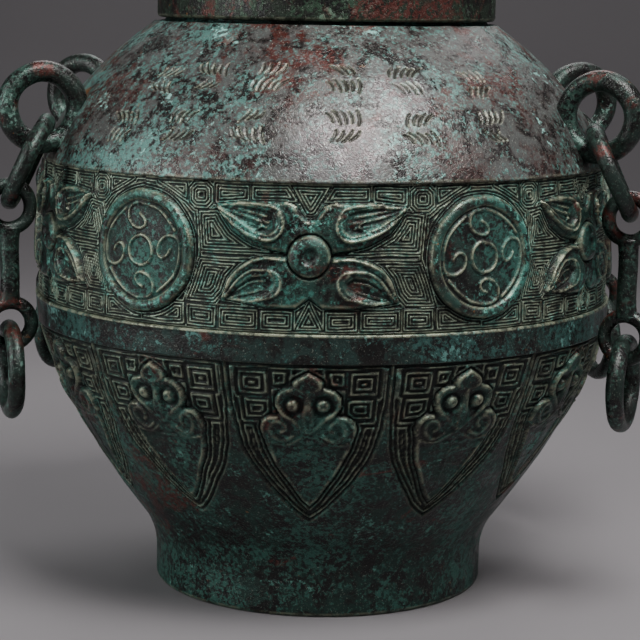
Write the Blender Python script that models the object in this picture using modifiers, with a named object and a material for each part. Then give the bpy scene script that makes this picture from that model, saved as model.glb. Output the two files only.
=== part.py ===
"""Lidded bronze jar with four chained rings.

A cast jar on a ring foot: a smooth shoulder, a decorated band, a plain strip and a tapering lower
body with twelve leaf blades.  Four loops are cast on the shoulder, and each one carries a ring,
a bar link and a large pull ring.  The lid lifts off.  Metres, +Z up, origin at the centre of the
foot's underside, and the jar's front faces -Y.
"""

from math import asin, cos, hypot, pi, radians, sin, tau

import bmesh
import bpy
import numpy as np
from mathutils import Matrix, Vector

MM = 0.001

# The cast body, from the foot up: radii first
BODY_RADIUS = 150.0 * MM
STRIP_PROUD = 1.6 * MM
STRIP_LEAN = 0.8 * MM
BAND_INSET = 1.8 * MM
BAND_LEAN = 3.6 * MM
SHOULDER_LEDGE = 1.4 * MM
FOOT_RADIUS = 86.5 * MM
FOOT_COVE = 2.0 * MM
FOOT_EDGE = 2.5 * MM
FOOT_WALL = 6.0 * MM
WALL = 4.0 * MM
# and the height of each stretch
FOOT_HEIGHT = 28.0 * MM
COVE_HEIGHT = 3.0 * MM
LOWER_HEIGHT = 108.5 * MM
STRIP_HEIGHT = 14.0 * MM
BAND_HEIGHT = 69.0 * MM
SHOULDER_HEIGHT = 69.8 * MM
FOOT_HOLLOW = 24.0 * MM
FLOOR_THICKNESS = 4.5 * MM

# How far each curved stretch swells, as shares of its own width and height
SHOULDER_SWELL = (0.80, 0.53)
LOWER_SWELL = (0.79, 0.56)
BAND_SWELL = (0.95, 0.62)
DOME_SWELL = (0.45, 0.05)
BLADE_SWELL = (0.84, 0.44)
WING_SWELL = (0.62, 0.10)

# Neck and lid
CLEARANCE = 0.8 * MM
REST_GAP = 0.3 * MM
CHAIN_GAP = 0.6 * MM
NECK_WALL = 4.0 * MM
NECK_HEIGHT = 17.0 * MM
NECK_INSET = 1.0 * MM
LID_RADIUS = 87.0 * MM
LID_WALL = 3.5 * MM
LID_EDGE = 2.0 * MM
LID_SKIRT_GAP = 1.8 * MM
LID_ROUND = 7.0 * MM
LID_RISE = 8.0 * MM
GRIP_RADIUS = 33.0 * MM
GRIP_FLARE = 4.0 * MM
GRIP_WALL = 4.5 * MM
GRIP_HEIGHT = 19.0 * MM

# Shoulder loops, cast on: how far each centre is above the band and off the wall
LOOP_SPREAD = radians(24.8)
LOOP_RISE = 27.2 * MM
LOOP_STAND = 18.2 * MM
LOOP_RADIUS = 17.6 * MM
LOOP_WIRE = 5.3 * MM

# Chains, whose bars hang clear of the widest part of the body
BAR_STAND = 17.8 * MM
UPPER_RING_RADIUS = 21.8 * MM
UPPER_RING_WIRE = 4.2 * MM
UPPER_RING_SEAT = radians(18)
EYE_RADIUS = 10.8 * MM
EYE_WIRE = 3.4 * MM
BAR_SPAN = 58.6 * MM
BAR_WIRE = 4.8 * MM
PULL_RING_RADIUS = 20.3 * MM
PULL_RING_WIRE = 4.3 * MM

# Decoration of the band: six bossed motifs and, between them, six medallions.
# The moulds were laid out by eye, so the ornament is wider at the front and back than at the
# sides.  A drift's two numbers swing once and twice round the body.
FIELDS = 6
BAND_DRIFT = (radians(0.55), radians(2.6))
MEDALLION_RADIUS = 28.0 * MM
MEDALLION_RIM = 5.0 * MM
MEDALLION_PROUD = 1.5 * MM
MEDALLION_RIM_PROUD = 2.6 * MM
MOTIF_GAP = 9.8 * MM
MOTIF_MARGIN = 11.5 * MM
MOTIF_PROUD = 1.8 * MM
MOTIF_NOTCH = 6.5 * MM
MOTIF_WAIST = 1.5 * MM
BOSS_RADIUS = 9.4 * MM
BOSS_PIT_RADIUS = 3.6 * MM
BOSS_PROUD = 5.0 * MM
BOSS_PIT = 2.0 * MM
# A wing's outer tip and the points of its hook, as shares of half the motif's width and height
WING_TIP = (1.0, 0.88)
WING_HOOK = ((0.62, 0.52), (0.40, 0.58), (0.42, 0.80), (0.74, 1.0))

# Leaf blades below the strip
BLADES = 12
BLADE_DRIFT = (radians(1.3), radians(0))
BLADE_GAP = 4.7 * MM
BLADE_DROP = 0.9 * MM
BLADE_LENGTH = 81.5 * MM
BLADE_STRAIGHT = 0.40
BLADE_POINT_INSET = 1.6
BLADE_BORDER = 9.0 * MM
BLADE_SUNK = 1.1 * MM
MASK_PROUD = 1.7 * MM
MASK_WIDTH = 31.0 * MM
MASK_HEIGHT = 37.0 * MM
MASK_DROP = 2.4 * MM
# One side of the mask, down from its knob, as shares of half its width and of its height
MASK_SIDE = ((0.44, 0.17), (1.0, 0.32), (0.78, 0.58), (1.3, 0.78), (0.8, 1.0))
# Levels at which the lower body bends, as shares of a blade's length above its point
BLADE_ROWS = (0.05, 0.5)

# How finely the round stretches are cut
BODY_STEPS = 36
CAVITY_STEPS = 28
LID_STEPS = 32
RING_STEPS = 14
WIRE_STEPS = 6
EYE_STEPS = 12
EYE_WIRE_STEPS = 6
BAR_STEPS = 8
MEDALLION_STEPS = 14
BOSS_STEPS = 8
CURVE_STEPS = 24
# Work sizes: how far cutters and carved shapes reach past what they meet, and what counts as one point
SUNK_IN_WALL = 2.0 * MM
CUTTER_ABOVE = 6.0 * MM
BLOCK_DEPTH = 4.0 * MM
OVERLAP = 5.0 * MM
WELD = 0.001 * MM
LEVEL = 0.01 * MM

# Places worked out from the sizes above
STRIP_RADIUS = BODY_RADIUS
LOWER_TOP_RADIUS = STRIP_RADIUS - STRIP_PROUD
BAND_RADIUS = BODY_RADIUS - BAND_INSET
BAND_TOP_RADIUS = BAND_RADIUS - BAND_LEAN
SHOULDER_RADIUS = BAND_TOP_RADIUS + SHOULDER_LEDGE
SHOULDER_TOP_RADIUS = LID_RADIUS + NECK_INSET
LOWER_END_RADIUS = FOOT_RADIUS + FOOT_COVE
LOWER_END_HEIGHT = FOOT_HEIGHT + COVE_HEIGHT
STRIP_BOTTOM = LOWER_END_HEIGHT + LOWER_HEIGHT
STRIP_TOP = STRIP_BOTTOM + STRIP_HEIGHT
BAND_TOP = STRIP_TOP + BAND_HEIGHT
SHOULDER_TOP = BAND_TOP + SHOULDER_HEIGHT
DECOR_HEIGHT = STRIP_TOP + BAND_HEIGHT / 2
FLOOR_TOP = FOOT_HOLLOW + FLOOR_THICKNESS
LID_INNER_RADIUS = LID_RADIUS - LID_WALL
NECK_RADIUS = LID_INNER_RADIUS - CLEARANCE
MOUTH_RADIUS = NECK_RADIUS - NECK_WALL
NECK_TOP = SHOULDER_TOP + NECK_HEIGHT
LID_BOTTOM = SHOULDER_TOP + LID_SKIRT_GAP
LID_CEILING = NECK_TOP + REST_GAP
LID_SHOULDER = LID_CEILING + LID_WALL
LID_CROWN = LID_SHOULDER + LID_RISE
LOOP_CENTRE_HEIGHT = BAND_TOP + LOOP_RISE
BAND_SECTOR = tau / FIELDS * BAND_RADIUS
MOTIF_HALF_WIDTH = BAND_SECTOR / 2 - MEDALLION_RADIUS - MOTIF_GAP
MOTIF_HALF_HEIGHT = BAND_HEIGHT / 2 - MOTIF_MARGIN
# Where one sixth of the band ends and the next begins, in the middle of the gap beside a motif
BAND_JOIN = MOTIF_HALF_WIDTH + MOTIF_GAP / 2
BLADE_SECTOR = tau / BLADES * BAND_RADIUS
BLADE_TOP = STRIP_BOTTOM - BLADE_DROP
CHAIN_PLACES = {
    "front_right": pi / 2 - LOOP_SPREAD,
    "back_right": pi / 2 + LOOP_SPREAD,
    "back_left": -pi / 2 - LOOP_SPREAD,
    "front_left": -pi / 2 + LOOP_SPREAD,
}
# How far each ring has swivelled in its chain, in the order of those places
UPPER_RING_TURNS = [radians(turn) for turn in (18, -8, 8, -18)]
PULL_RING_TURNS = [radians(turn) for turn in (7, -5, 7, -5)]


def clear_scene():
    for thing in list(bpy.data.objects):
        bpy.data.objects.remove(thing)


def collection(name):
    made = bpy.data.collections.new(name)
    bpy.context.scene.collection.children.link(made)
    return made


def bronze(name, colour, roughness, metallic):
    material = bpy.data.materials.new(name)
    material.use_nodes = True
    shader = material.node_tree.nodes["Principled BSDF"]
    shader.inputs["Base Color"].default_value = (*colour, 1)
    shader.inputs["Roughness"].default_value = roughness
    shader.inputs["Metallic"].default_value = metallic
    return material


def add_object(name, mesh, where, material=None):
    made = bpy.data.objects.new(name, mesh)
    where.objects.link(made)
    if material:
        mesh.materials.append(material)
    return made


def mark_cutter(thing):
    thing.hide_render = True
    thing.display_type = "WIRE"
    return thing


def swell(start, end, fullness, count):
    """Points of a quadratic curve from start to end, (radius, height) each.

    fullness gives its pull point as shares of the way from the narrower, farther end.
    """
    pull = tuple(b + (a - b) * share for a, b, share in zip(start, end, fullness))
    points = []
    for i in range(count + 1):
        t = i / count
        points.append(tuple((1 - t) ** 2 * a + 2 * t * (1 - t) * b + t * t * c
                            for a, b, c in zip(start, pull, end)))
    return points


def quarter(centre, radius, start, count, turn=-pi / 2):
    """Points of a rounded corner about centre, from the angle start through turn."""
    return [(centre[0] + radius * cos(start + turn * i / count),
             centre[1] + radius * sin(start + turn * i / count)) for i in range(count + 1)]


def shoulder_curve(count):
    """From the shoulder's lower edge up to the neck."""
    return swell((SHOULDER_RADIUS, BAND_TOP), (SHOULDER_TOP_RADIUS, SHOULDER_TOP),
                 (SHOULDER_SWELL[0], 1 - SHOULDER_SWELL[1]), count)


def band_curve(count):
    """From the band's foot up to its top edge."""
    return swell((BAND_RADIUS, STRIP_TOP), (BAND_TOP_RADIUS, BAND_TOP),
                 (BAND_SWELL[0], 1 - BAND_SWELL[1]), count)


def lower_curve(count):
    """From under the strip down to the foot."""
    return swell((LOWER_TOP_RADIUS, STRIP_BOTTOM), (LOWER_END_RADIUS, LOWER_END_HEIGHT), LOWER_SWELL, count)


def wall_radius(height):
    """The outer radius of the body at a height, between the foot and the neck."""
    curve = lower_curve(CURVE_STEPS)[::-1] + band_curve(CURVE_STEPS) + shoulder_curve(CURVE_STEPS)
    return float(np.interp(height, [p[1] for p in curve], [p[0] for p in curve]))


def turned(name, profile, steps, where, material=None):
    """A solid turned about Z from a profile at +X that runs down its outer side."""
    mesh = bpy.data.meshes.new(name)
    points = [(r, 0, z) for r, z in profile]
    mesh.from_pydata(points, [(i, i + 1) for i in range(len(points) - 1)], [])
    thing = add_object(name, mesh, where, material)
    screw = thing.modifiers.new("turn", "SCREW")
    screw.axis = "Z"
    screw.steps = steps
    screw.render_steps = steps
    screw.use_merge_vertices = True
    screw.merge_threshold = LEVEL
    return thing


def on_wall(x, y, proud, angle, drift):
    """A point of a flat drawing laid round the body, facing the given angle from the front."""
    radius = wall_radius(y) + proud
    turn = angle + x / BAND_RADIUS
    turn += drift[0] * sin(turn) + drift[1] * sin(2 * turn)
    return Vector((radius * sin(turn), -radius * cos(turn), y))


def cut_into_strips(bm, columns, rows):
    """Divides a flat sheet, so that it can follow the wall's curve."""
    for places, normal in ((columns, Vector((1, 0, 0))), (rows, Vector((0, 1, 0)))):
        for place in places:
            geometry = bm.verts[:] + bm.edges[:] + bm.faces[:]
            bmesh.ops.bisect_plane(bm, geom=geometry, plane_co=normal * place, plane_no=normal, dist=WELD)


def worked_out(thing):
    """A bmesh of an object as its modifiers leave it."""
    made = bpy.data.meshes.new_from_object(thing.evaluated_get(bpy.context.evaluated_depsgraph_get()))
    bm = bmesh.new()
    bm.from_mesh(made)
    bpy.data.meshes.remove(made)
    return bm


def slab(outlines, low, high, centre=(0, 0)):
    """A flat slab in a bmesh: a closed outline, with holes where more outlines lie inside it."""
    curve = bpy.data.curves.new("outline", "CURVE")
    curve.dimensions = "2D"
    curve.fill_mode = "BOTH"
    curve.extrude = (high - low) / 2
    for outline in outlines:
        spline = curve.splines.new("POLY")
        spline.points.add(len(outline) - 1)
        spline.use_cyclic_u = True
        for point, place in zip(spline.points, outline):
            point.co = (place[0], place[1], 0, 1)
    shape = bpy.data.objects.new("outline", curve)
    bpy.context.scene.collection.objects.link(shape)
    bm = worked_out(shape)
    bmesh.ops.remove_doubles(bm, verts=bm.verts, dist=WELD)
    bmesh.ops.translate(bm, verts=bm.verts, vec=(*centre, (high + low) / 2))
    bpy.data.objects.remove(shape)
    bpy.data.curves.remove(curve)
    return bm


def lathe(profile, steps, centre):
    """A turned solid in a bmesh, from a profile of (radius, height) that runs down to its base."""
    bm = bmesh.new()
    verts = [bm.verts.new((r, 0, z)) for r, z in profile]
    edges = [bm.edges.new(pair) for pair in zip(verts, verts[1:])]
    bmesh.ops.spin(bm, geom=verts + edges, cent=(0, 0, 0), axis=(0, 0, 1), angle=tau, steps=steps,
                   use_merge=True)
    bmesh.ops.remove_doubles(bm, verts=bm.verts, dist=WELD)
    bmesh.ops.rotate(bm, verts=bm.verts, cent=(0, 0, 0), matrix=Matrix.Rotation(pi / steps, 3, "Z"))
    bmesh.ops.translate(bm, verts=bm.verts, vec=(*centre, 0))
    bmesh.ops.recalc_face_normals(bm, faces=bm.faces)
    return bm


def gather(name, shapes, where):
    """One cutter object from several separate bmeshes."""
    whole = bmesh.new()
    for bm in shapes:
        part = bpy.data.meshes.new("part")
        bm.to_mesh(part)
        bm.free()
        whole.from_mesh(part)
        bpy.data.meshes.remove(part)
    mesh = bpy.data.meshes.new(name)
    whole.to_mesh(mesh)
    whole.free()
    return mark_cutter(add_object(name, mesh, where))


def carved_sheet(name, left, right, bottom, top, raised, sunk, where):
    """The flat face of a block, with shapes raised on it or sunk in it."""
    corners = [(left, bottom), (right, bottom), (right, top), (left, top)]
    base = gather(name, [slab([corners], -BLOCK_DEPTH, 0)], where)
    if sunk:
        boolean(base, gather(name + "_sunk", sunk, where), "DIFFERENCE")
    boolean(base, gather(name + "_raised", raised, where), "UNION")
    sheet = worked_out(base)
    bmesh.ops.dissolve_limit(sheet, angle_limit=radians(0.5), verts=sheet.verts, edges=sheet.edges)
    hidden = []
    for face in sheet.faces:
        middle = face.calc_center_bounds()
        outside = (middle.x < left + WELD or middle.x > right - WELD
                   or middle.y < bottom + WELD or middle.y > top - WELD)
        if outside or middle.z < WELD - BLOCK_DEPTH:
            hidden.append(face)
    bmesh.ops.delete(sheet, geom=hidden, context="FACES")
    return sheet


def wrapped_round(sheet, copies, drift):
    """Copies of a flat sheet laid side by side round the wall, as one open surface."""
    flat = [vert.co.copy() for vert in sheet.verts]
    whole = bmesh.new()
    for i in range(copies):
        for vert, co in zip(sheet.verts, flat):
            vert.co = on_wall(co.x, co.y, co.z, tau * i / copies, drift)
        mesh = bpy.data.meshes.new("sector")
        sheet.to_mesh(mesh)
        whole.from_mesh(mesh)
        bpy.data.meshes.remove(mesh)
    sheet.free()
    bmesh.ops.remove_doubles(whole, verts=whole.verts, dist=WELD)
    bmesh.ops.triangulate(whole, faces=whole.faces, quad_method="SHORT_EDGE")
    return whole


def carry_on(bm, height, rings):
    """Carries the open edge at a height on through rings of (radius, height), and closes it."""
    edges = [edge for edge in bm.edges
             if edge.is_boundary and all(abs(vert.co.z - height) < LEVEL for vert in edge.verts)]
    for radius, level in rings:
        made = bmesh.ops.extrude_edge_only(bm, edges=edges)["geom"]
        for vert in made:
            if isinstance(vert, bmesh.types.BMVert):
                share = radius / hypot(vert.co.x, vert.co.y)
                vert.co = (vert.co.x * share, vert.co.y * share, level)
        edges = [edge for edge in made if isinstance(edge, bmesh.types.BMEdge) and edge.is_boundary]
    bmesh.ops.holes_fill(bm, edges=edges)


def ring_mesh(radius, wire, ring_steps, wire_steps):
    """A ring in the XZ plane, about the origin."""
    bm = bmesh.new()
    place = Matrix.Translation((radius, 0, 0)) @ Matrix.Rotation(pi / wire_steps, 4, "Z")
    section = bmesh.ops.create_circle(bm, segments=wire_steps, radius=wire, matrix=place)
    edges = list({edge for vert in section["verts"] for edge in vert.link_edges})
    bmesh.ops.spin(bm, geom=section["verts"] + edges, cent=(0, 0, 0), axis=(0, 1, 0), angle=tau,
                   steps=ring_steps, use_merge=True)
    bmesh.ops.remove_doubles(bm, verts=bm.verts, dist=WELD)
    bmesh.ops.recalc_face_normals(bm, faces=bm.faces)
    return bm


def boolean(thing, other, operation):
    modifier = thing.modifiers.new(other.name, "BOOLEAN")
    modifier.object = other
    modifier.operation = operation
    modifier.solver = "EXACT"


def smooth(thing):
    thing.data.shade_smooth()
    thing.data.set_sharp_from_angle(angle=radians(35))


def cavity_profile():
    """The jar's inside, a wall's thickness in from its outside, and open through the neck."""
    above = NECK_TOP + CUTTER_ABOVE
    profile = [(0, above), (MOUTH_RADIUS, above), (MOUTH_RADIUS, SHOULDER_TOP - WALL / 2)]
    profile += [(r - WALL, z - WALL / 2) for r, z in shoulder_curve(3)[::-1][1:]]
    profile += [(LOWER_TOP_RADIUS - WALL, (STRIP_TOP + STRIP_BOTTOM) / 2)]
    profile += [(r - WALL, z) for r, z in lower_curve(3)[1:-1]]
    profile += [(LOWER_END_RADIUS - WALL, FLOOR_TOP + WALL), (LOWER_END_RADIUS - 2 * WALL, FLOOR_TOP),
                (0, FLOOR_TOP)]
    return profile


def loop_centre_radius():
    """How far the shoulder loops' centres are from the jar's axis."""
    return wall_radius(LOOP_CENTRE_HEIGHT) + LOOP_STAND


def shoulder_loops(where):
    shapes = []
    for angle in CHAIN_PLACES.values():
        bm = ring_mesh(LOOP_RADIUS, LOOP_WIRE, RING_STEPS, WIRE_STEPS)
        place = upright(angle, loop_centre_radius(), LOOP_CENTRE_HEIGHT)
        bmesh.ops.transform(bm, matrix=place, verts=bm.verts)
        shapes.append(bm)
    return gather("loops", shapes, where)


def motif_outline():
    """The four spread wings of a bossed motif, as one closed outline: each wing ends in two points."""
    tip, *hook = [(MOTIF_HALF_WIDTH * x, MOTIF_HALF_HEIGHT * y) for x, y in (WING_TIP, *WING_HOOK)]
    sweep = swell(tip, (BOSS_RADIUS, MOTIF_WAIST), WING_SWELL, 2)
    wing = sweep[::-1] + hook + [(MOTIF_NOTCH, MOTIF_HALF_HEIGHT), (0, MOTIF_HALF_HEIGHT - MOTIF_NOTCH)]
    top = wing + [(-x, y) for x, y in wing[::-1][1:]]
    return top + [(x, -y) for x, y in top[::-1]]


def band_sheet(where):
    """A sixth of the band: a bossed motif, and a medallion to its right."""
    left = -BAND_JOIN
    motif = slab([motif_outline()], -SUNK_IN_WALL, MOTIF_PROUD, (0, DECOR_HEIGHT))
    rim_inner = MEDALLION_RADIUS - MEDALLION_RIM
    edge = MEDALLION_RIM / 4
    rim_outer = MEDALLION_RADIUS - edge
    medallion_profile = [(0, MEDALLION_PROUD), (rim_inner, MEDALLION_PROUD),
                         (rim_inner + edge, MEDALLION_RIM_PROUD), (rim_outer, MEDALLION_RIM_PROUD),
                         (MEDALLION_RADIUS, -SUNK_IN_WALL), (0, -SUNK_IN_WALL)]
    medallion = lathe(medallion_profile, MEDALLION_STEPS, (BAND_SECTOR / 2, DECOR_HEIGHT))
    crest = (BOSS_RADIUS + BOSS_PIT_RADIUS) / 2
    boss_profile = [(0, BOSS_PROUD - BOSS_PIT), (BOSS_PIT_RADIUS, BOSS_PROUD - BOSS_PIT / 3),
                    (crest, BOSS_PROUD), (BOSS_RADIUS, MOTIF_PROUD), (BOSS_RADIUS, -SUNK_IN_WALL),
                    (0, -SUNK_IN_WALL)]
    boss = lathe(boss_profile, BOSS_STEPS, (0, DECOR_HEIGHT))
    raised = gather("motif_plate", [motif], where)
    boolean(raised, gather("motif_boss", [boss], where), "UNION")
    raised_shapes = [worked_out(raised), medallion]
    sheet = carved_sheet("band", left, left + BAND_SECTOR, STRIP_TOP, BAND_TOP, raised_shapes, [], where)
    columns = BODY_STEPS // FIELDS
    cut_into_strips(sheet, [left + BAND_SECTOR * i / columns for i in range(1, columns)], [])
    return sheet


def blade_outline(inset):
    """A leaf blade, pointed below and square above, its top middle at the origin."""
    half = (BLADE_SECTOR - BLADE_GAP) / 2 - inset
    length = BLADE_LENGTH - inset * BLADE_POINT_INSET
    side = swell((half, -inset - BLADE_STRAIGHT * length), (0, -length), BLADE_SWELL, 3)
    right = [(half, -inset)] + side
    return right + [(-x, y) for x, y in right[::-1][1:]]


def mask_outline():
    """The knob, brow and curls at the head of each blade."""
    right = [(0, 0)] + [(MASK_WIDTH / 2 * x, -MASK_HEIGHT * y) for x, y in MASK_SIDE]
    return right + [(-x, y) for x, y in right[::-1][:-1]]


def lower_sheet(where):
    """A twelfth of the lower body: one leaf blade, outlined by a groove, with a raised mask."""
    outlines = [blade_outline(0), blade_outline(BLADE_BORDER)]
    groove = slab(outlines, -BLADE_SUNK, CUTTER_ABOVE, (0, BLADE_TOP))
    mask = slab([mask_outline()], -SUNK_IN_WALL, MASK_PROUD, (0, BLADE_TOP - MASK_DROP))
    half = BLADE_SECTOR / 2
    sheet = carved_sheet("lower", -half, half, LOWER_END_HEIGHT, STRIP_BOTTOM, [mask], [groove], where)
    columns = BODY_STEPS // BLADES
    blade_foot = BLADE_TOP - BLADE_LENGTH
    cut_into_strips(sheet, [BLADE_SECTOR * i / columns - half for i in range(1, columns)],
                    [blade_foot + BLADE_LENGTH * share for share in BLADE_ROWS])
    return sheet


def upper_body(parts, cutters, material):
    """The shoulder, the band and the plain strip, as a closed solid with the neck."""
    whole = wrapped_round(band_sheet(cutters), FIELDS, BAND_DRIFT)
    carry_on(whole, STRIP_TOP, [(STRIP_RADIUS, STRIP_TOP), (STRIP_RADIUS, STRIP_TOP - STRIP_PROUD),
                                (STRIP_RADIUS - STRIP_LEAN, STRIP_BOTTOM)])
    carry_on(whole, BAND_TOP, shoulder_curve(5) + [(NECK_RADIUS, SHOULDER_TOP), (NECK_RADIUS, NECK_TOP)])
    return finished("jar", whole, parts, material)


def lower_body(cutters):
    """The tapering body and the hollow foot, as a closed solid that reaches up into the strip."""
    whole = wrapped_round(lower_sheet(cutters), BLADES, BLADE_DRIFT)
    foot_inner = FOOT_RADIUS - FOOT_WALL
    carry_on(whole, STRIP_BOTTOM, [(LOWER_TOP_RADIUS, STRIP_BOTTOM + OVERLAP)])
    carry_on(whole, LOWER_END_HEIGHT, [(FOOT_RADIUS, FOOT_HEIGHT)]
             + quarter((FOOT_RADIUS - FOOT_EDGE, FOOT_EDGE), FOOT_EDGE, 0, 2)
             + [(foot_inner, 0), (foot_inner, FOOT_HOLLOW)])
    return mark_cutter(finished("lower_body", whole, cutters, None))


def finished(name, bm, where, material):
    bmesh.ops.recalc_face_normals(bm, faces=bm.faces)
    mesh = bpy.data.meshes.new(name)
    bm.to_mesh(mesh)
    bm.free()
    return add_object(name, mesh, where, material)


def build_jar(parts, cutters, material):
    jar = upper_body(parts, cutters, material)
    boolean(jar, lower_body(cutters), "UNION")
    boolean(jar, shoulder_loops(cutters), "UNION")
    boolean(jar, mark_cutter(turned("cavity", cavity_profile(), CAVITY_STEPS, cutters)), "DIFFERENCE")
    smooth(jar)


def build_lid(parts, material):
    """The cap and its ring grip, from the middle of the grip's floor out and round to the ceiling."""
    grip_inner = GRIP_RADIUS - GRIP_WALL
    grip_top = LID_CROWN + GRIP_HEIGHT
    dome_edge = (LID_RADIUS - LID_ROUND, LID_SHOULDER + LID_ROUND / 3)
    dome = swell(dome_edge, (GRIP_RADIUS, LID_CROWN), DOME_SWELL, 2)
    profile = [(0, LID_CROWN), (grip_inner, LID_CROWN), (grip_inner + GRIP_FLARE, grip_top),
               (GRIP_RADIUS + GRIP_FLARE, grip_top)]
    profile += dome[::-1]
    profile += [(LID_RADIUS - LID_ROUND / 4, LID_SHOULDER - LID_ROUND / 4)]
    profile += [(LID_RADIUS, LID_SHOULDER - LID_ROUND)]
    profile += quarter((LID_RADIUS - LID_EDGE, LID_BOTTOM + LID_EDGE), LID_EDGE, 0, 2)
    profile += [(LID_INNER_RADIUS, LID_BOTTOM), (LID_INNER_RADIUS, LID_CEILING),
                (GRIP_RADIUS, LID_CROWN - LID_WALL), (0, LID_CROWN - LID_WALL)]
    smooth(turned("lid", profile, LID_STEPS, parts, material))


def upright(angle, radius, height, lean=0.0, turn=0.0):
    """Places a piece drawn in the XZ plane beside the jar, so that X points outwards."""
    return (Matrix.Rotation(angle - pi / 2, 4, "Z") @ Matrix.Translation((radius, 0, height))
            @ Matrix.Rotation(-lean, 4, "Y") @ Matrix.Rotation(turn, 4, "Z"))


def build_ring(name, radius, wire, place, parts, material):
    bm = ring_mesh(radius, wire, RING_STEPS, WIRE_STEPS)
    mesh = bpy.data.meshes.new(name)
    bm.to_mesh(mesh)
    bm.free()
    ring = add_object(name, mesh, parts, material)
    ring.matrix_world = place
    smooth(ring)


def build_bar_link(name, place, parts, cutters, material):
    """Two eyes in the XZ plane, joined by an upright bar."""
    bm = bmesh.new()
    length = BAR_SPAN - 2 * EYE_RADIUS
    bmesh.ops.create_cone(bm, cap_ends=True, segments=BAR_STEPS, radius1=BAR_WIRE, radius2=BAR_WIRE,
                          depth=length)
    mesh = bpy.data.meshes.new(name)
    bm.to_mesh(mesh)
    bm.free()
    link = add_object(name, mesh, parts, material)
    link.matrix_world = place
    eyes = []
    for side in (-1, 1):
        eye = ring_mesh(EYE_RADIUS, EYE_WIRE, EYE_STEPS, EYE_WIRE_STEPS)
        bmesh.ops.translate(eye, verts=eye.verts, vec=(0, 0, side * BAR_SPAN / 2))
        eyes.append(eye)
    both = gather(name + "_eyes", eyes, cutters)
    both.matrix_world = place
    boolean(link, both, "UNION")
    smooth(link)


def build_chain(place_name, angle, upper_turn, pull_turn, parts, cutters, material):
    """A ring on the loop, a bar link in the ring and a pull ring in the bar link's lower eye.

    The upper ring leans out as far as it takes for the bar to hang clear of the body.
    """
    drop = LOOP_RADIUS - LOOP_WIRE - UPPER_RING_WIRE - CHAIN_GAP
    top_radius = loop_centre_radius() - drop * sin(UPPER_RING_SEAT)
    top_height = LOOP_CENTRE_HEIGHT - drop * cos(UPPER_RING_SEAT)
    bar_radius = BODY_RADIUS + BAR_STAND
    lean = asin((bar_radius - top_radius) / (2 * UPPER_RING_RADIUS))
    ring_height = top_height - UPPER_RING_RADIUS * cos(lean)
    place = upright(angle, (top_radius + bar_radius) / 2, ring_height, lean, upper_turn + pi / 2)
    build_ring("upper_ring_" + place_name, UPPER_RING_RADIUS, UPPER_RING_WIRE, place, parts, material)
    hung = EYE_RADIUS - EYE_WIRE - UPPER_RING_WIRE - CHAIN_GAP
    eye_height = ring_height - UPPER_RING_RADIUS * cos(lean) - hung
    build_bar_link("bar_link_" + place_name, upright(angle, bar_radius, eye_height - BAR_SPAN / 2),
                   parts, cutters, material)
    hung = EYE_RADIUS - EYE_WIRE - PULL_RING_WIRE - CHAIN_GAP
    pull_height = eye_height - BAR_SPAN - hung - PULL_RING_RADIUS
    place = upright(angle, bar_radius, pull_height, 0.0, pull_turn + pi / 2)
    build_ring("pull_ring_" + place_name, PULL_RING_RADIUS, PULL_RING_WIRE, place, parts, material)


def main():
    clear_scene()
    parts = collection("lidded bronze jar")
    cutters = collection("cutters")
    body_bronze = bronze("green bronze", (0.055, 0.11, 0.09), 0.45, 0.6)
    lid_bronze = bronze("olive bronze", (0.07, 0.10, 0.075), 0.5, 0.6)
    chain_bronze = bronze("dark bronze", (0.05, 0.065, 0.055), 0.4, 0.7)
    build_jar(parts, cutters, body_bronze)
    build_lid(parts, lid_bronze)
    turns = zip(UPPER_RING_TURNS, PULL_RING_TURNS)
    for (place_name, angle), (upper_turn, pull_turn) in zip(CHAIN_PLACES.items(), turns):
        build_chain(place_name, angle, upper_turn, pull_turn, parts, cutters, chain_bronze)


main()
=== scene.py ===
"""Looks of the lidded bronze jar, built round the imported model.

The carved surfaces are height fields, drawn flat in millimetres and laid round the same turned
wall as the CAD jar has.  Every finish is procedural.
"""

from math import asin, cos, pi, radians, sin, tau

import bpy
import numpy as np
from mathutils import Matrix, Vector


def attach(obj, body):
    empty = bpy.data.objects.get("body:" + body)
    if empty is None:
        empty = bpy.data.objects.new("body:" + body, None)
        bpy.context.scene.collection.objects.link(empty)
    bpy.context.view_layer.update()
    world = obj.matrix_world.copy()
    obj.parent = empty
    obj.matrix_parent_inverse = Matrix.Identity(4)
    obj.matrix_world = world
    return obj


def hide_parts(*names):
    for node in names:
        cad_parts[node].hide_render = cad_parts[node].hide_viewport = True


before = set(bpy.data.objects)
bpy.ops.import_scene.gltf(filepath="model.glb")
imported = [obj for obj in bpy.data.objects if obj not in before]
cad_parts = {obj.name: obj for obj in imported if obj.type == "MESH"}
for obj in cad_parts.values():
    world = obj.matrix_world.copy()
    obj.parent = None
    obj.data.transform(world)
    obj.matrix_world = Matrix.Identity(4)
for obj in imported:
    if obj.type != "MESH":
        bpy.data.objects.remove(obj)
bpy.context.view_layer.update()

# Sizes of the CAD jar, in millimetres, worked out as part.py does
BODY_RADIUS = 150.0
STRIP_PROUD = 1.6
STRIP_LEAN = 0.8
BAND_RADIUS = 148.2
BAND_TOP_RADIUS = 144.6
SHOULDER_RADIUS = 146.0
SHOULDER_TOP_RADIUS = 88.0
FOOT_RADIUS = 86.5
FOOT_EDGE = 2.5
FOOT_WALL = 6.0
FOOT_HOLLOW = 24.0
FOOT_HEIGHT = 28.0
WALL = 4.0
FLOOR_TOP = 28.5
LOWER_END_RADIUS = 88.5
LOWER_END_HEIGHT = 31.0
BEND_TOP = 41.0
STRIP_BOTTOM = 139.5
STRIP_TOP = 153.5
BAND_TOP = 222.5
SHOULDER_TOP = 292.3
NECK_RADIUS = 82.7
MOUTH_RADIUS = 78.7
NECK_TOP = 309.3
LID_RADIUS = 87.0
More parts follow.
